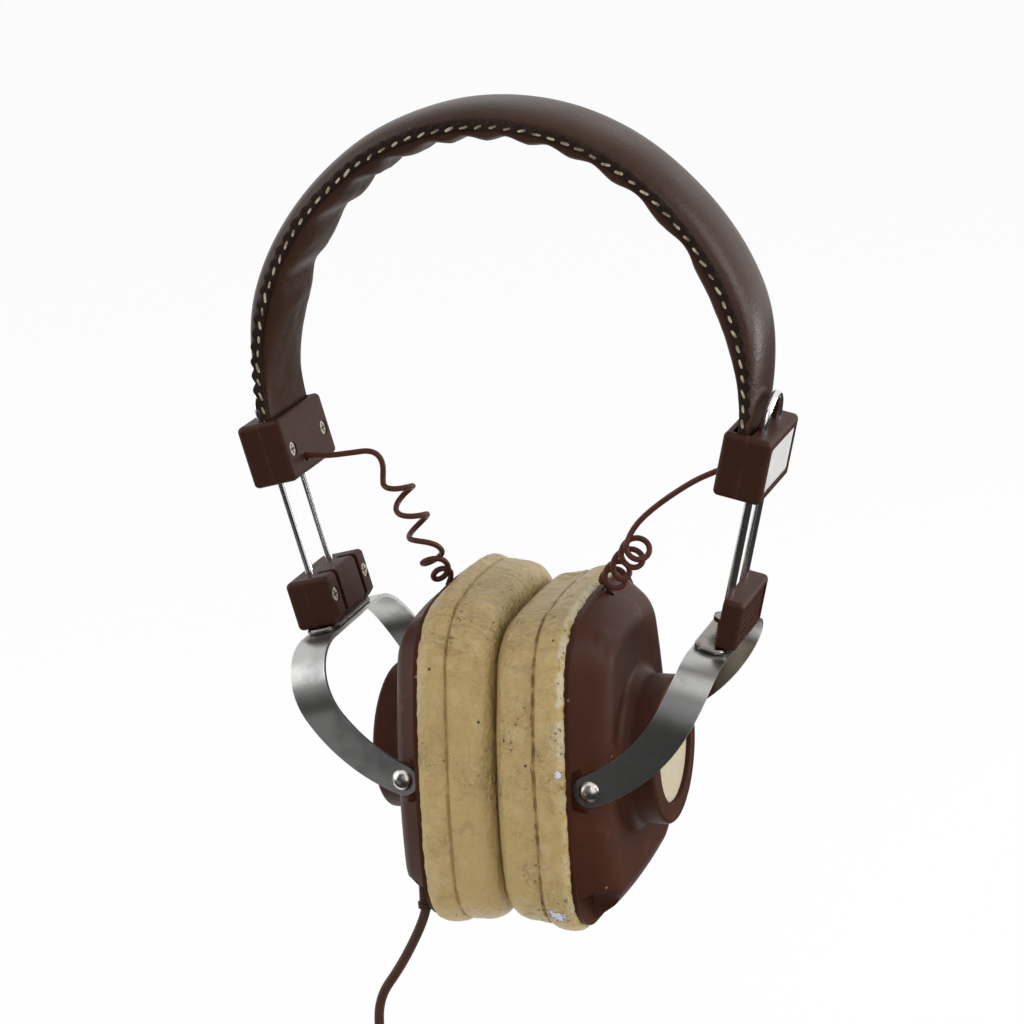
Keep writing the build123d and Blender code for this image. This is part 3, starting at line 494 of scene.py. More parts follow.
NODE_FINISH = {
    "headband_spring": SPRING_STEEL,
    "crossover_wire": JUMPER_RUBBER,
    "block_outer": BLOCK_PLASTIC,
    "block_inner": BLOCK_PLASTIC,
    "side_plate": PALE_PLATE,
    "block_screws": SCREW_STEEL,
    "slide_rod": CHROME,
    "slider_outer": BLOCK_PLASTIC,
    "slider_inner": BLOCK_PLASTIC,
    "slider_screws": SCREW_STEEL,
    "swivel_washer": WASHER_STEEL,
    "swivel_rivet": WASHER_STEEL,
    "yoke": STRAP_STEEL,
    "cup_shell": CUP_LACQUER,
    "cup_disc": DISC_INLAY,
    "baffle": BLACK_PLASTIC,
    "driver_frame": FRAME_PLATING,
    "driver_magnet": MAGNET_IRON,
    "driver_diaphragm": CLEAR_FILM,
    "ear_screen": DRIVER_CLOTH,
    "pivot_rivets": RIVET_STEEL,
    "cable_boot": BOOT_RUBBER,
    "hank_tie": TIE_CLOTH,
    "plug_collar": BOOT_RUBBER,
    "plug_body": PLUG_PLASTIC,
    "plug_pin": PLUG_METAL,
}

# every rigid node that stays in view gets its finish
for name, node in NODES.items():
    plain_name = name.removeprefix("right_").removeprefix("left_")
    if plain_name in NODE_FINISH:
        node.data.materials.clear()
        node.data.materials.append(NODE_FINISH[plain_name])


# ------ mesh tools
def new_piece(name, verts, faces, material, smooth=True):
    mesh = bpy.data.meshes.new(name)
    mesh.from_pydata([tuple(v) for v in verts], [], faces)
    mesh.validate()
    mesh.materials.append(material)
    for polygon in mesh.polygons:
        polygon.use_smooth = smooth
    piece = bpy.data.objects.new(name, mesh)
    bpy.context.scene.collection.objects.link(piece)
    return piece


def grid_faces(rows, columns, closed_rows, closed_columns):
    """Quads of a grid of points stored row by row."""
    faces = []
    for i in range(rows if closed_rows else rows - 1):
        for j in range(columns if closed_columns else columns - 1):
            a = i * columns + j
            b = i * columns + (j + 1) % columns
            k = (i + 1) % rows * columns
            faces.append((a, b, k + (j + 1) % columns, k + j))
    return faces


def outward(piece):
    """Turn the piece's faces so that they all look out."""
    work = bmesh.new()
    work.from_mesh(piece.data)
    bmesh.ops.recalc_face_normals(work, faces=work.faces)
    work.to_mesh(piece.data)
    work.free()
    return piece


def sleeve(name, rows, material):
    """Closed skin through rows of points, each row a closed ring, with flat ends."""
    count = len(rows[0])
    verts = [point for row in rows for point in row]
    faces = grid_faces(len(rows), count, False, True)
    faces.append(tuple(reversed(range(count))))
    faces.append(tuple(range((len(rows) - 1) * count, len(rows) * count)))
    return outward(new_piece(name, verts, faces, material))


def tube_rings(line, radius, sides):
    """Rings of points round a line, carried along without twist."""
    rings = []
    ahead = (line[1] - line[0]).normalized()
    side = ahead.orthogonal().normalized()
    for i, point in enumerate(line):
        after = line[min(i + 1, len(line) - 1)]
        before = line[max(i - 1, 0)]
        ahead = (after - before).normalized()
        side = (side - ahead * side.dot(ahead)).normalized()
        across = ahead.cross(side)
        ring = []
        for k in range(sides):
            turn = math.tau * k / sides
            ring.append(point + radius * (math.cos(turn) * side + math.sin(turn) * across))
        rings.append(ring)
    return rings


def cloud(point, size, seed=0.0):
    """Smooth noise from -1 to 1 whose blots are about size metres across."""
    return noise.noise(point / size + Vector((seed, -seed, 2.3 * seed)))


def ease(value, low, high):
    """0 below low, 1 above high and smooth between."""
    share = min(1.0, max(0.0, (value - low) / (high - low)))
    return share * share * (3 - 2 * share)


# ------ cords
CABLE_DIAMETER = 2.4 * MM
JUMPER_DIAMETER = 1.4 * MM
BOOT_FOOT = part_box("cable_boot")[0]
CABLE_EXIT = Vector((-22.6 * MM, -22 * MM, BOOT_FOOT.z))
CABLE_POINTS = [(-25.0, -22.0, -190.2), (-30.6, -22.3, -200.4), (-37.2, -22.1, -209.4),
                (-37.8, -22.0, -220.6), (-38.1, -22.0, -231.6)]
# from the top of the plug's collar
LEAD_POINTS = [(0.0, -4.6, 15.5), (0.0, -1.4, 9.0), (0.0, 0.0, 4.5), (0.0, 0.0, -1.5)]
HANK_RADIUS = 13.2 * MM
HANK_INNER_TURNS = 5
HANK_OUTER_TURNS = 8
HANK_TURNS = 1 + HANK_INNER_TURNS + HANK_OUTER_TURNS
HANK_STEPS = 18
HANK_INNER_RING = 2.3 * MM
HANK_OUTER_RING = 4.15 * MM


def on_route(points):
    return [Vector(point) * MM for point in points]


def hank_seat(turn):
    """Place of one turn in the hank's section, as (outwards, forwards): a middle turn, then two rings."""
    if turn < 1:
        return Vector((0.0, 0.0))
    place = turn - 1
    ring, angle = HANK_INNER_RING, math.tau * place / HANK_INNER_TURNS
    if place >= HANK_INNER_TURNS:
        place -= HANK_INNER_TURNS
        ring, angle = HANK_OUTER_RING, math.tau * place / HANK_OUTER_TURNS + math.radians(20)
    return ring * Vector((math.cos(angle), math.sin(angle)))


def hank_route():
    """The turns of the hank, down its left side first, one place after another in its section."""
    low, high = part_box("cable_hank")
    centre = (low + high) / 2
    points = []
    for step in range(HANK_TURNS * HANK_STEPS + 1):
        turn, share = divmod(step / HANK_STEPS, 1)
        following = hank_seat(min(turn + 1, HANK_TURNS - 1))
        outwards, forwards = hank_seat(turn).lerp(following, ease(share, 0.55, 1.0))
        angle = math.pi + math.tau * share
        radius = HANK_RADIUS + outwards
        points.append(centre + Vector((radius * math.cos(angle), -forwards, radius * math.sin(angle))))
    return points


def spline_curve(name, points, radius):
    """Curve object with one smooth spline whose control points are the route."""
    curve = bpy.data.curves.new(name, "CURVE")
    curve.dimensions = "3D"
    spline = curve.splines.new("NURBS")
    spline.points.add(len(points) - 1)
    for knot, point in zip(spline.points, points):
        knot.co = (*point, 1)
    spline.order_u = 3
    spline.use_endpoint_u = True
    spline.resolution_u = 8
    curve.bevel_depth = radius
    curve.bevel_resolution = 5
    curve.use_fill_caps = radius > 0
    return bpy.data.objects.new(name, curve)


def add_main_cable():
    """The cable from the boot to the plug: the seen stretch, the tied hank and the short lead."""
    seen = on_route(CABLE_POINTS)
    plug_top = Vector((seen[-1].x, seen[-1].y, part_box("plug_collar")[1].z))
    lead = [plug_top + point for point in on_route(LEAD_POINTS)]
    route = [CABLE_EXIT + 1.5 * MM * UP, CABLE_EXIT] + seen + hank_route() + lead
    cable = spline_curve("main_cable_covering", route, CABLE_DIAMETER / 2)
    bpy.context.scene.collection.objects.link(cable)
    cable.data.materials.append(CABLE_RUBBER)
    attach(cable, "left_cup")
    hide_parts("main_cable", "cable_hank", "plug_lead")


# The jumpers, in millimetres.  Each turn of their loops has its centre, its radius, how far its right
# side is lifted, and how far its rear is lifted, from level at 0 to upright at 90, as seen from the
# wearer's front left.  A route leaves its last turn open_steps before the turn's end.
JUMPER_ROUTES = {
    "right": {
        "points": [(52.4, -4.5, -76.1), (47.0, -4.5, -78.2), (41.2, -4.6, -81.6), (34.4, -5.0, -86.4),
                   (30.0, -6.0, -90.6)],
        "turns": [
            ((30.4, -6.3, -95.9), 3.10, 0.0, 72.0),
            ((28.4, -4.6, -98.7), 2.85, -4.0, 74.0),
            ((24.5, -2.8, -102.8), 2.70, 6.0, 72.0),
            ((22.9, -1.1, -105.2), 2.75, 0.0, 74.0),
        ],
        "open_steps": 0,
        "entry": (20.0, 2.2, -107.2),
    },
    "left": {
        "points": [(-52.4, -4.5, -76.1), (-47.4, -4.5, -76.2), (-40.5, -4.5, -75.2), (-34.8, -4.4, -74.3),
                   (-32.2, -4.2, -77.0)],
        "turns": [
            ((-28.6, -3.4, -84.7), 3.15, 22.0, 4.0),
            ((-25.9, -2.6, -91.7), 3.20, 18.0, 4.0),
            ((-23.3, -1.6, -100.2), 3.20, -2.0, -32.0),
            ((-21.6, -0.4, -105.2), 2.45, 16.0, -66.0),
            ((-21.0, 1.4, -107.2), 1.75, 14.0, -66.0),
        ],
        "open_steps": 6,
        "entry": (-19.9, 2.5, -108.4),
    },
}
COIL_STEPS = 14
ROUNDING = 1e-9


def between_turns(turns, place):
    """Centre, radius and lifts of the loops at a place along them, each turn's own at its middle."""
    spot = min(max(place - 0.5, -0.5), len(turns) - 0.5)
    first = min(max(math.floor(spot), 0), len(turns) - 2)
    share = spot - first
    (centre, *sizes), (next_centre, *next_sizes) = turns[first], turns[first + 1]
    middle = Vector(centre).lerp(Vector(next_centre), share)
    return middle, *(a + (b - a) * share for a, b in zip(sizes, next_sizes))


def coil_turns(turns):
    """Control points of a jumper's loops, from the left side of the first one down round its front."""
    points = []
    for step in range(len(turns) * COIL_STEPS + 1):
        place = step / COIL_STEPS
        centre, radius, lift, rear_lift = between_turns(turns, place)
        lift, rear_lift = math.radians(lift), math.radians(rear_lift)
        sideways = CAMERA_LEVEL * math.cos(lift) + UP * math.sin(lift)
        rearwards = CAMERA_AHEAD * math.cos(rear_lift) + UP * math.sin(rear_lift)
        angle = math.pi + math.tau * place
        spot = centre + radius * (math.cos(angle) * sideways + math.sin(angle) * rearwards)
        points.append(spot * MM)
    return points


def read_line(points):
    """Points along the smooth line that a route's spline gives."""
    holder = spline_curve("route", points, 0.0)
    mesh = bpy.data.meshes.new_from_object(holder)
    line = [vertex.co.copy() for vertex in mesh.vertices]
    bpy.data.meshes.remove(mesh)
    bpy.data.objects.remove(holder)
    return line


def add_jumper(side):
    """One jumper as three lengths of equal reach, in place of its wire, coil and tail."""
    plan = JUMPER_ROUTES[side]
    sign = SIDES[side]
    port = Vector((sign * 20.6 * MM, 2.5 * MM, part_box(side + "_jumper_tail")[0].z))
    ends = on_route([plan["entry"]]) + [port]
    coil = coil_turns(plan["turns"])
    coil = coil[:len(coil) - plan["open_steps"]]
    line = read_line(on_route(plan["points"]) + coil + ends)
    reach = [0.0]
    for before, after in zip(line, line[1:]):
        reach.append(reach[-1] + (after - before).length)
    for k, stretch in enumerate(("wire", "coil", "tail")):
        low, high = reach[-1] * k / 3, reach[-1] * (k + 1) / 3
        first = max(i for i, run in enumerate(reach) if run <= low + ROUNDING)
        last = min(i for i, run in enumerate(reach) if run >= high - ROUNDING)
        part = line[first : last + 1]
        rings = tube_rings(part, JUMPER_DIAMETER / 2, 12)
        piece = sleeve(f"{side}_jumper_{stretch}_covering", rings, JUMPER_RUBBER)
        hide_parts(f"{side}_jumper_{stretch}")
        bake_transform(piece)


add_main_cable()
for side in SIDES:
    add_jumper(side)


# ------ headband
CROWN_RADIUS = 56.4 * MM
SHOULDER_RADIUS = 67.7 * MM
TEMPLE_RADIUS = 58.6 * MM
CROWN_ANGLE = math.radians(38)
SHOULDER_ANGLE = math.radians(58)
THINNING_ANGLE = math.radians(70)
BAND_END_ANGLE = math.radians(90 + 13.65)
SEAM_HEIGHT = 4.7 * MM
BAND_HALF_WIDTH = 11.5 * MM
COVER_RISE = 4.8 * MM
COVER_SHOULDER_SWELL = 0.4 * MM
COVER_END_RISE = 1.5 * MM
PAD_DEPTH = 4.6 * MM
PAD_END_DEPTH = 1.2 * MM
PAD_EDGE_DEPTH = 0.9 * MM
STITCH_PITCH = 3.5 * MM
BAND_STEP = math.radians(0.55)
BAND_UNDER_STEPS = 8
WELT_STEPS = 760
STITCH_CLEAR_OF_BLOCK = 3.0 * MM
STITCH_HALF_RINGS = 4
STITCH_SIDES = 8
# the pad's transverse creases, from left to right
PUCKER_ANGLES = [math.radians(a) for a in (-64, -48, -36.5, -26, -14, -4.5, 6, 17, 28.5, 41, 55)]
PUCKER_HALF_WIDTH = math.radians(4.6)
# the seams by their side of the band: name, seed of the stitches, and how far from its ends the welt thins
SEAMS = {-1: ("front", 11, 9 * MM), 1: ("back", 12, 30 * MM)}


def band_point(angle, rise, y=0.0):
    """Point at a height over the headband's side seam, at an angle from straight up."""
    turn = abs(angle)
    x, z = 0.0, SEAM_HEIGHT - CROWN_RADIUS
    radius = CROWN_RADIUS
    for start, following in ((CROWN_ANGLE, SHOULDER_RADIUS), (SHOULDER_ANGLE, TEMPLE_RADIUS)):
        if turn > start:
            x += (radius - following) * math.sin(start)
            z += (radius - following) * math.cos(start)
            radius = following
    x += (radius + rise) * math.sin(turn)
    z += (radius + rise) * math.cos(turn)
    return Vector((math.copysign(x, angle), y, z))


def band_angles():
    count = round(2 * BAND_END_ANGLE / BAND_STEP)
    return [-BAND_END_ANGLE + 2 * BAND_END_ANGLE * i / count for i in range(count + 1)]


def band_skin(name, half_width, squareness, across, flat_height, height_at, material):
    """Skin along the band: a crowned side whose heights height_at gives, closed by a flat side."""
    rows = []
    for angle in band_angles():
        row = []
        for j in range(across + 1):
            turn = math.pi * j / across
            side, crest = -math.cos(turn), math.sin(turn)
            y = half_width * math.copysign(abs(side) ** squareness, side)
            row.append(band_point(angle, height_at(angle, crest, y), y))
        for j in range(1, BAND_UNDER_STEPS):
            row.append(band_point(angle, flat_height, half_width * (1 - 2 * j / BAND_UNDER_STEPS)))
        rows.append(row)
    return sleeve(name, rows, material)


def cover_height(angle, crest, y):
    """The outer leather's height over the seam, a little fuller on the shoulders, with small gathers."""
    thin = ease(abs(angle), THINNING_ANGLE, BAND_END_ANGLE)
    fuller = COVER_SHOULDER_SWELL * ease(abs(angle), CROWN_ANGLE, THINNING_ANGLE) * (1 - thin)
    height = (COVER_RISE + fuller + (COVER_END_RISE - COVER_RISE) * thin) * crest**0.78
    gather = math.sin(math.tau * angle * TEMPLE_RADIUS / STITCH_PITCH)
    near_seam = max(0.0, 1 - abs(crest - 0.28) / 0.22)
    swell = 0.16 * MM * cloud(band_point(angle, height, y), 15 * MM, 1.0)
    return height + (swell + 0.14 * MM * gather * near_seam) * crest


def band_cover():
    """Outer leather: a crowned skin from seam to seam."""
    cover = band_skin("headband_cover_leather", BAND_HALF_WIDTH, 0.82, 44, 0.05 * MM, cover_height,
                      OUTER_LEATHER)
    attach(cover, "headband")
    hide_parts("headband_cover")


def pucker(angle):
    """0 in the pad's transverse creases and 1 on the lumps between them."""
    depth = 1.0
    for crease in PUCKER_ANGLES:
        apart = abs(angle - crease) / PUCKER_HALF_WIDTH
        depth = min(depth, 1 - math.exp(-apart * apart * 1.6))
    return depth


def pad_height(angle, crest, y):
    """The inner pad's height under the seam, below 0, drawn in at the creases and finely folded."""
    thin = ease(abs(angle), THINNING_ANGLE, BAND_END_ANGLE)
    depth = PAD_DEPTH + (PAD_END_DEPTH - PAD_DEPTH) * thin
    belly = max(0.0, depth - PAD_EDGE_DEPTH) * crest**0.62
    belly *= 1 - (0.42 - 0.30 * thin) * (1 - pucker(angle))
    height = -PAD_EDGE_DEPTH * min(1.0, crest * 6) - belly
    spot = band_point(angle, height, y)
    folds = 0.22 * MM * cloud(spot, 6 * MM, 4.0) + 0.10 * MM * cloud(spot, 2.4 * MM, 9.0)
    return height + folds * crest


def band_pad():
    """Inner leather pad: a pillow that hangs in lumps between transverse creases."""
    half_width = BAND_HALF_WIDTH - 0.45 * MM
    pad = band_skin("headband_pad_leather", half_width, 0.80, 40, -0.05 * MM, pad_height, INNER_LEATHER)
    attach(pad, "headband")
    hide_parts("headband_pad")


def stitch_angles():
    """Angles of the stitches, evenly spaced along the seam from one block to the other."""
    angles = []
    end = BAND_END_ANGLE - STITCH_CLEAR_OF_BLOCK / TEMPLE_RADIUS
    angle = -end
    while angle < end:
        radius = CROWN_RADIUS
        if CROWN_ANGLE < abs(angle) < SHOULDER_ANGLE:
            radius = SHOULDER_RADIUS
        elif abs(angle) >= SHOULDER_ANGLE:
            radius = TEMPLE_RADIUS
        angles.append(angle)
        angle += STITCH_PITCH / radius
    return angles


def band_welt(front):
    """Pinked edge of the inner leather, turned up over the seam: a thin strip with scalloped teeth."""
    seam, _, thinned = SEAMS[front]
    rows = []
    end = BAND_END_ANGLE - 0.5 * MM / TEMPLE_RADIUS
    y = front * BAND_HALF_WIDTH
    for i in range(WELT_STEPS + 1):
        angle = -end + 2 * end * i / WELT_STEPS
        tooth = 0.5 + 0.5 * math.cos(math.tau * angle * TEMPLE_RADIUS / STITCH_PITCH)
        spot = band_point(angle, 0.0, y)
        top = (1.00 + 0.75 * tooth**0.6 + 0.25 * cloud(spot, 3 * MM, 5.0)) * MM
        fade = ease(end - abs(angle), 0.0, thinned / TEMPLE_RADIUS)
        top *= 0.45 + 0.55 * fade
        lift = (0.20 + 0.22 * cloud(spot, 5 * MM, 2.0) + 0.18 * tooth) * fade * MM
        section = [(0.0, -0.95 * MM), (0.42 * MM, -0.9 * MM), (0.52 * MM, -0.2 * MM), (0.45 * MM, 0.5 * top),
                   (0.30 * MM + lift, top), (lift - 0.05 * MM, top), (0.02 * MM, 0.4 * top)]
        rows.append([band_point(angle, height, y + front * out) for out, height in section])
    strip = sleeve("welt_" + seam, rows, WELT_LEATHER)
    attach(strip, "headband")


def band_stitches(front):
    """Slanted cream stitches along the seam, each a short twisted length of thread."""
    seam, seed, _ = SEAMS[front]
    dice = random.Random(seed)
    count = 2 * STITCH_HALF_RINGS + 1
    verts, faces = [], []
    y = front * (BAND_HALF_WIDTH + 0.50 * MM)
    for angle in stitch_angles():
        length = dice.uniform(1.7, 2.5) * MM
        slant = dice.uniform(0.02, 0.40) * MM
        middle = band_point(angle, dice.uniform(-0.12, 0.08) * MM, y)
        ahead = (band_point(angle + 0.01, 0, y) - band_point(angle - 0.01, 0, y)).normalized()
        upright = (band_point(angle, 1 * MM, y) - band_point(angle, 0, y)).normalized()
        line = []
        for k in range(count):
            share = k / STITCH_HALF_RINGS - 1
            sink = 0.34 * MM * abs(share) ** 3
            line.append(middle + ahead * (length / 2 * share) + upright * slant * share
                        - Vector((0, front * sink, 0)))
        rings = tube_rings(line, dice.uniform(0.27, 0.37) * MM, STITCH_SIDES)
        base = len(verts)
        for k, ring in enumerate(rings):
            from_middle = (k / STITCH_HALF_RINGS - 1) / 1.1
            taper = math.sqrt(max(0.05, 1 - from_middle**4))
            verts += [line[k] + (point - line[k]) * taper for point in ring]
        ends = [range(STITCH_SIDES)[::-1], range((count - 1) * STITCH_SIDES, count * STITCH_SIDES)]
        for face in grid_faces(count, STITCH_SIDES, False, True) + ends:
            faces.append(tuple(base + v for v in face))
    stitches = outward(new_piece("stitches_" + seam, verts, faces, THREAD))
    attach(stitches, "headband")


band_cover()
band_pad()
for front in SEAMS:
    band_welt(front)
    band_stitches(front)


# ------ ear pads
RIM_X = 18 * MM
PAD_FACE_X = 0.15 * MM
CUP_HEIGHT = -148 * MM
EAR_HALF_WIDTH = 17 * MM
EAR_HALF_HEIGHT = 24 * MM
RIM_SPOKES = 1440
PAD_STATIONS = 440
NORMAL_SPAN = 4
# by how much the leatherette swells at the top on the outer and on the inner roll, how far the inner
# roll is drawn in at the foot, and the seed of its creases
PAD_SHAPE = {
    "right": (-0.6 * MM, -2.9 * MM, -2.8 * MM, 3.0),
    "left": (2.3 * MM, 0.7 * MM, -2.0 * MM, 17.0),
}

# the pad's section, from the shell's rim over both rolls to the ear opening:
# (distance from the face, growth over the rim's outline, share of the ear opening's oval)
PAD_SECTION = [
    (18.0, -1.2, 0.0), (18.1, 0.1, 0.0), (17.3, 1.2, 0.0), (15.4, 1.75, 0.0), (13.4, 1.6, 0.0),
    (11.9, 1.15, 0.0), (11.1, 0.75, 0.0), (10.75, 0.30, 0.0), (10.4, 0.70, 0.0), (9.6, 1.10, 0.0),
    (8.0, 1.45, 0.0), (6.2, 1.5, 0.0), (4.4, 1.25, 0.0), (2.8, 0.6, 0.0), (1.5, -0.6, 0.0),
    (0.6, -2.3, 0.0), (0.15, -5.0, 0.0), (0.3, -10.0, 0.15), (1.2, -12.0, 0.55), (3.0, -13.0, 0.9),
    (6.0, -13.0, 1.0), (11.0, -13.0, 1.0), (16.3, -13.0, 1.0),
]
SECTION_STEPS = 5
RAGGED_STEPS = 3 * SECTION_STEPS


def rim_outline(side):
    """Evenly spaced points of the shell's rim, as (y, height over the pivot), each with its way out."""
    sign = SIDES[side]
    shell = NODES[side + "_cup_shell"].data
    rim = [v.co for v in shell.vertices if abs(sign * v.co.x - RIM_X) < 0.05 * MM]
    flat = sorted(set((round(v.y, 7), round(v.z - CUP_HEIGHT, 7)) for v in rim))
    hull = [flat[k] for k in convex_hull_2d(flat)]
    fine = []
    for i in range(RIM_SPOKES):
        ray = (math.sin(math.tau * i / RIM_SPOKES), math.cos(math.tau * i / RIM_SPOKES))
        reach = hull_reach(hull, ray)
        fine.append(Vector((reach * ray[0], reach * ray[1])))
    along = [0.0]
    for i in range(RIM_SPOKES):
        along.append(along[-1] + (fine[(i + 1) % RIM_SPOKES] - fine[i]).length)
    points, k = [], 0
    for i in range(PAD_STATIONS):
        goal = along[-1] * i / PAD_STATIONS
        while along[k + 1] < goal:
            k += 1
        share = (goal - along[k]) / (along[k + 1] - along[k])
        points.append(fine[k].lerp(fine[(k + 1) % RIM_SPOKES], share))
    outline = []
    for i, point in enumerate(points):
        ahead = points[(i + NORMAL_SPAN) % PAD_STATIONS] - points[i - NORMAL_SPAN]
        normal = Vector((-ahead.y, ahead.x)).normalized()
        if normal.dot(point) < 0:
            normal = -normal
        outline.append((point, normal))
    return outline


def hull_reach(hull, ray):
    """Distance from the middle to the hull along a ray: the nearest crossing with a side's line."""
    crossings = []
    for a, b in zip(hull, hull[1:] + hull[:1]):
        across = (b[1] - a[1], a[0] - b[0])
        towards = across[0] * ray[0] + across[1] * ray[1]
        if abs(towards) > 1e-15:
            crossings.append((across[0] * a[0] + across[1] * a[1]) / towards)
    return min(crossing for crossing in crossings if crossing > 0)


def smooth_section():
    """The pad's section drawn as a smooth curve through its points."""
    fine = []
    points = [Vector(p) for p in PAD_SECTION]
    for i in range(len(points) - 1):
        before = points[max(i - 1, 0)]
        here, after = points[i], points[i + 1]
        beyond = points[min(i + 2, len(points) - 1)]
        for k in range(SECTION_STEPS):
            t = k / SECTION_STEPS
            fine.append(0.5 * (2 * here + (after - before) * t
                               + (2 * before - 5 * here + 4 * after - beyond) * t * t
                               + (3 * here - before - 3 * after + beyond) * t**3))
    fine.append(points[-1])
    return fine


def pad_relief(seed, spot, station, x):
    """How far the worn leatherette stands proud of or sinks under the plain pad, in metres."""
    around = station * 0.5 * MM
    flat = Vector((x * 0.55, around, 0.0))
    lumps = 0.42 * MM * cloud(spot, 17 * MM, seed) + 0.22 * MM * cloud(spot, 7 * MM, seed + 1)
    slant = Vector((x * 0.9 + around * 0.35, around - x * 0.25, 0.0))
    folds = cloud(Vector((slant.x * 0.35, slant.y, 0.0)), 2.6 * MM, seed + 2)
    ridge = 0.16 * MM * (1 - abs(folds)) ** 3 * ease(cloud(spot, 14 * MM, seed + 3), -0.1, 0.4)
    fine = 0.10 * MM * cloud(flat, 1.3 * MM, seed + 4)
    pitted = ease(cloud(spot, 11 * MM, seed + 5), -0.1, 0.35)
    pits = 0.34 * MM * pitted * min(0.0, cloud(flat, 1.5 * MM, seed + 6) + 0.1)
    return lumps + ridge + fine + pits


def ear_pad(side):
    """Soft double roll of an ear pad, from the shell's rim to the ear opening."""
    sign = SIDES[side]
    section = smooth_section()
    puffed_outer, puffed_inner, drawn_in, seed = PAD_SHAPE[side]
    rows = []
    for i, (rim, normal) in enumerate(rim_outline(side)):
        angle = math.atan2(rim.x, rim.y)
        oval = Vector((EAR_HALF_WIDTH * math.sin(angle), EAR_HALF_HEIGHT * math.cos(angle)))
        top = max(0.0, math.cos(angle)) ** 3
        foot = max(0.0, -math.cos(angle)) ** 3
        row = []
        for k, (x, growth, share) in enumerate(section):
            x, growth = x * MM, growth * MM
            inner = ease(SEAM_X - x, -1.5 * MM, 4 * MM)
            outer = (1 - inner) * ease(RIM_X - x, 0.0, 5 * MM)
            growth += (puffed_inner * top + drawn_in * foot) * inner + puffed_outer * top * outer
            flat = (rim + normal * growth).lerp(oval, share)
            spot = Vector((sign * x, flat.x, CUP_HEIGHT + flat.y))
            if k < RAGGED_STEPS:
                ragged = cloud(spot, 2.2 * MM, 30.0) + 0.6 * cloud(spot, 0.9 * MM, 31.0)
                x += 0.42 * MM * ragged * (1 - k / RAGGED_STEPS)
                spot.x = sign * x
            proud = pad_relief(seed, spot, i, x) * (1 - share)
            face = ease(x, 0.2 * MM, 5 * MM)
            flat = flat + normal * proud * (0.25 + 0.75 * face)
            x = max(x + 0.4 * proud * (1 - face), PAD_FACE_X)
            row.append(Vector((sign * x, flat.x, CUP_HEIGHT + flat.y)))
        rows.append(row)
    verts = [point for row in rows for point in row]
    faces = grid_faces(PAD_STATIONS, len(section), True, True)
    pad = outward(new_piece(side + "_ear_pad_cover", verts, faces, PAD_SKINS[side]))
    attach(pad, side + "_cup")
    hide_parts(side + "_ear_pad")
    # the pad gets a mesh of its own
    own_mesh(pad)


PAD_SKINS = {
    "right": pad_leatherette("right_pad_leatherette", TORN_SPOTS, 1.0),
    "left": pad_leatherette("left_pad_leatherette", [], 0.2),
}
for side in SIDES:
    ear_pad(side)


# ------ studio stage
FLOOR_LEVEL = CAD_BOX[0].z - 4 * MM
FLOOR_HALF = 6.0
DARK_CARD = 0.03
GREY_CARD = 0.36
OBJECT_MIDDLE = (0.0, 0.0, -0.1)


def add_floor():
    """Pale floor under the hanging plug; it looks white and keeps a part of the shadow."""
    corners = ((-1, -1), (1, -1), (1, 1), (-1, 1))
    verts = [(x * FLOOR_HALF, y * FLOOR_HALF, FLOOR_LEVEL) for x, y in corners]
    pale = Finish("floor_pale", 0.9)
    pale.set(base_color=(0.92, 0.92, 0.92))
    glow = pale.add("ShaderNodeEmission", None, {"Color": (1.0, 1.0, 1.0), "Strength": 1.0})
    lit = Field(pale, pale.shader.outputs[0])
    surface = pale.add("ShaderNodeMixShader", None, {0: pale.seen_directly() * 0.9, 1: lit, 2: glow})
    pale.feed(pale.tree.nodes["Material Output"].inputs["Surface"], surface)
    new_piece("floor", verts, [(0, 1, 2, 3)], pale.material, False)


def add_world():
    """Soft surroundings: plain white to the eye, and as a light brighter above than below."""
    world = bpy.data.worlds.new("studio")
    bpy.context.scene.world = world
    sky = NodeTree(world)
    around = sky.add("ShaderNodeTexCoord", output="Generated")
    height = sky.add("ShaderNodeSeparateXYZ", None, {"Vector": around}, "Z")
    light = 0.20 + 0.55 * height.step(-0.4, 0.9)
    seen = sky.seen_directly()
    strength = seen + light * (1 - seen)
    lamp = sky.tree.nodes["Background"]
    sky.feed(lamp.inputs["Color"], (1.0, 1.0, 1.0))
    sky.feed(lamp.inputs["Strength"], strength)


def add_card(name, corners, tone):
    """Grey card of the studio, which only shows as the dark side of what the shiny pieces mirror."""
    dull = Finish(name + "_grey", 0.9, Specular_IOR_Level=0.0)
    dull.set(base_color=(tone, tone, tone))
    card = new_piece(name, corners, [(0, 1, 2, 3)], dull.material, False)
    for ray in ("camera", "diffuse", "transmission", "volume_scatter", "shadow"):
        setattr(card, "visible_" + ray, False)


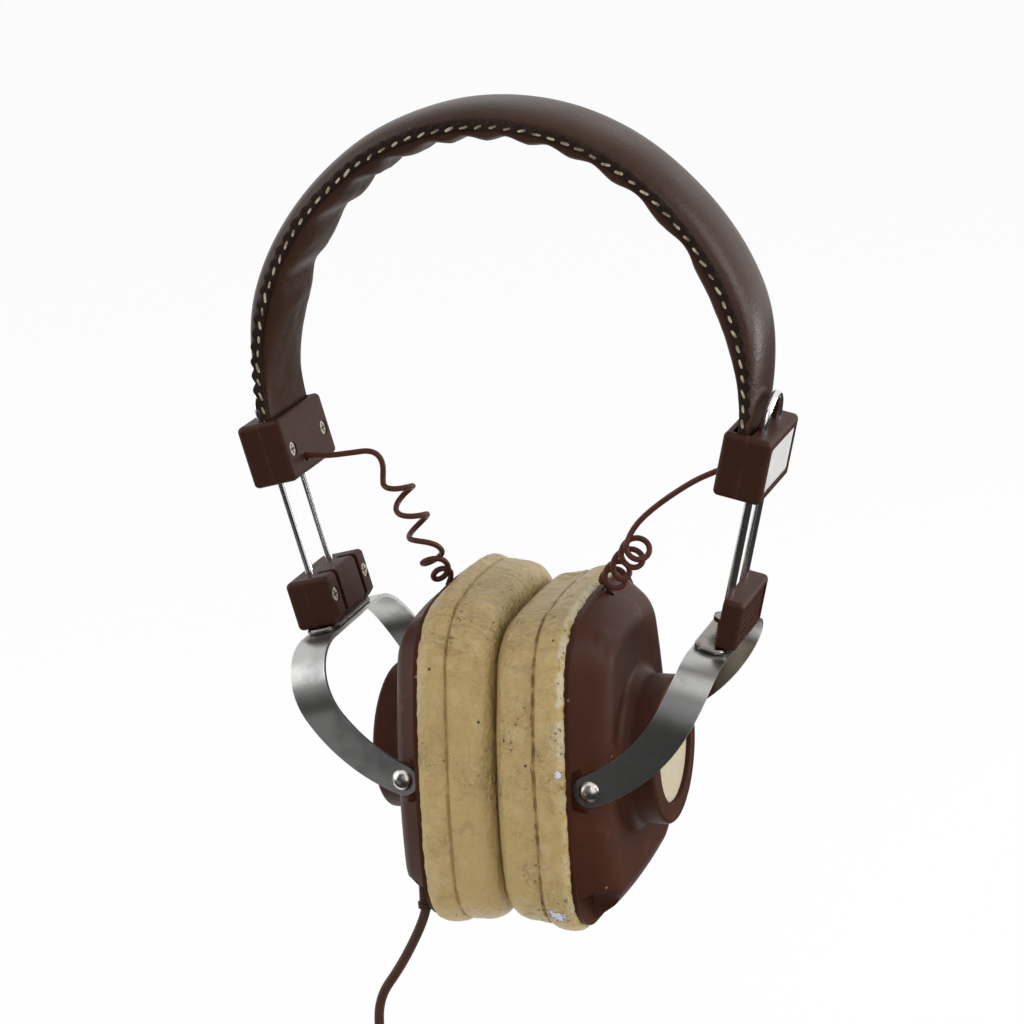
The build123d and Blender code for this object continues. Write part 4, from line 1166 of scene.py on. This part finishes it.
def add_flag(name, azimuth, sideways, width, low, high, distance, tone):
    """Upright card at an azimuth round the object."""
    turn = math.radians(azimuth)
    ahead = Vector((math.sin(turn), -math.cos(turn), 0)) * distance
    along = Vector((math.cos(turn), math.sin(turn), 0))
    ends = [ahead + along * (sideways + share * width / 2) for share in (-1, 1, 1, -1)]
    add_card(name, [end + UP * h for end, h in zip(ends, (low, low, high, high))], tone)


def add_lamp(name, place, aim, size, power):
    """Square soft box that looks at a point of the object."""
    light = bpy.data.lights.new(name, "AREA")
    light.shape = "RECTANGLE"
    light.size, light.size_y = size
    light.energy = power
    lamp = bpy.data.objects.new(name, light)
    spot = Vector(place)
    turn = (Vector(aim) - spot).to_track_quat("-Z", "Y").to_matrix().to_4x4()
    lamp.matrix_world = Matrix.Translation(spot) @ turn
    bpy.context.scene.collection.objects.link(lamp)


add_floor()
add_world()
# dark cards that lie just over a part of the floor: name, left, right, front, back
for name, left, right, front, back in (
    ("table_front", -1.6, 1.6, -1.6, -0.05),
    ("table_right", 0.05, 1.6, -0.05, 1.6),
):
    corners = ((left, front), (right, front), (right, back), (left, back))
    add_card(name, [(x, y, FLOOR_LEVEL + 0.5 * MM) for x, y in corners], DARK_CARD)
# upright cards: name, azimuth, sideways, width, low, high, distance, tone
for flag in (
    ("flag_front", 0, 0.02, 0.21, -0.30, 0.03, 0.24, DARK_CARD),
    ("flag_band", 0, -0.09, 0.42, -0.175, 0.28, 0.238, DARK_CARD),
    ("flag_front_left", 0, -0.165, 0.16, -0.30, -0.17, 0.24, GREY_CARD),
    ("flag_right", 74, 0.0, 0.09, -0.25, 0.04, 0.30, DARK_CARD),
):
    add_flag(*flag)
# soft boxes: name, place, aim, size, power
for lamp in (
    ("key_box", (1.1, 0.15, 0.35), (0.0, 0.0, -0.09), (0.7, 0.9), 8.5),
    ("fill_box", (-0.95, -0.35, 0.35), OBJECT_MIDDLE, (0.6, 0.9), 3.2),
    ("front_box", (0.35, -1.2, 0.55), OBJECT_MIDDLE, (0.5, 0.5), 3.2),
    ("low_box", (0.62, 0.50, -0.17), (0.03, 0.0, -0.17), (0.3, 0.18), 1.3),
):
    add_lamp(*lamp)
bpy.context.scene.view_settings.view_transform = "Standard"
